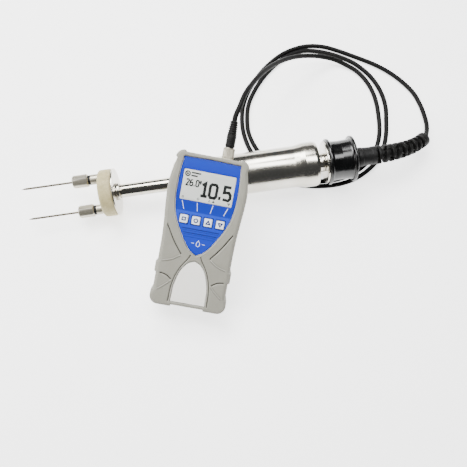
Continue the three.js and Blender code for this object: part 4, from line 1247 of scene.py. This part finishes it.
# Zinc-plated steel, tin-plated brass, glass-fibre board under green resist, printed cell jackets
cadFinishes = {
    cadSurface("zincPlatedSteel", "#b8b9b6", "#a9aba6", (0.25, 0.38), 1): [
        "housing_screw_1", "housing_screw_2", "housing_screw_3", "housing_screw_4", "socket_nut"],
    cadSurface("tinPlatedBrass", "#c9a765", "#b99552", (0.25, 0.4), 1): [
        "contact_strip_low", "contact_strip_high"],
    cadSurface("greenSolderResist", "#1f5a38", "#17482c", (0.3, 0.42), 0, 1.6, 0.8, 0.01,
               speckle="#c8b36a", speckleSize=1.1, speckleAmount=0.8): ["main_board"],
    cadSurface("lcdBacking", "#a9ada6", "#9da19a", (0.3, 0.4)): ["lcd_module"],
    cadSurface("cellJacketShrinkFilm", "#3d4a63", "#2f3a50", (0.22, 0.34), 0.3, 9,
               speckle="#b98b4a", speckleSize=14, speckleAmount=0.7): [
        "battery_1", "battery_2", "battery_3", "battery_4"],
    cadSurface("switchNylon", "#1c1c1e", "#242427", (0.4, 0.55)): [
        name + "_switch" for name in keys["names"]] + ["plug_insert"],
    cadSurface("nitrileSeal", "#141413", "#1c1c1a", (0.5, 0.65)): ["housing_seal", "inner_lead"],
    cadSurface("sinteredBronze", "#9a7442", "#866238", (0.35, 0.5), 1, 2, 0.25, 0.01,
               speckle="#5f4425", speckleSize=0.5, speckleAmount=0.6): ["front_bush", "rear_bush"],
    shellAbs: ["front_shell", "back_shell", "battery_door"],
}
for material, names in cadFinishes.items():
    for name in names:
        slots = frame["nodes"][name].material_slots
        for slot in slots:
            slot.material = material
print("inner pieces finished")


# Floor

def addFloor():
    floorPaper = surface("floorPaper", {
        "colour": "#f4f4f3", "variation": "#f1f1f0", "patch": 80, "grain": 2, "depth": 0.01,
        "roughness": (0.55, 0.65), "onCad": True})
    shader = floorPaper.node_tree.nodes["Principled BSDF"]
    shader.inputs["Emission Color"].default_value = linear("#ffffff")
    shader.inputs["Emission Strength"].default_value = 2.2       # lit from beneath, as a light table
    reach = 3
    mesh = bpy.data.meshes.new("floor")
    mesh.from_pydata([(-reach, -reach, 0), (reach, -reach, 0), (reach, reach, 0), (-reach, reach, 0)], [],
                     [(0, 1, 2, 3)])
    floor = bpy.data.objects.new("floor", mesh)
    bpy.context.scene.collection.objects.link(floor)
    mesh.materials.append(floorPaper)


addFloor()
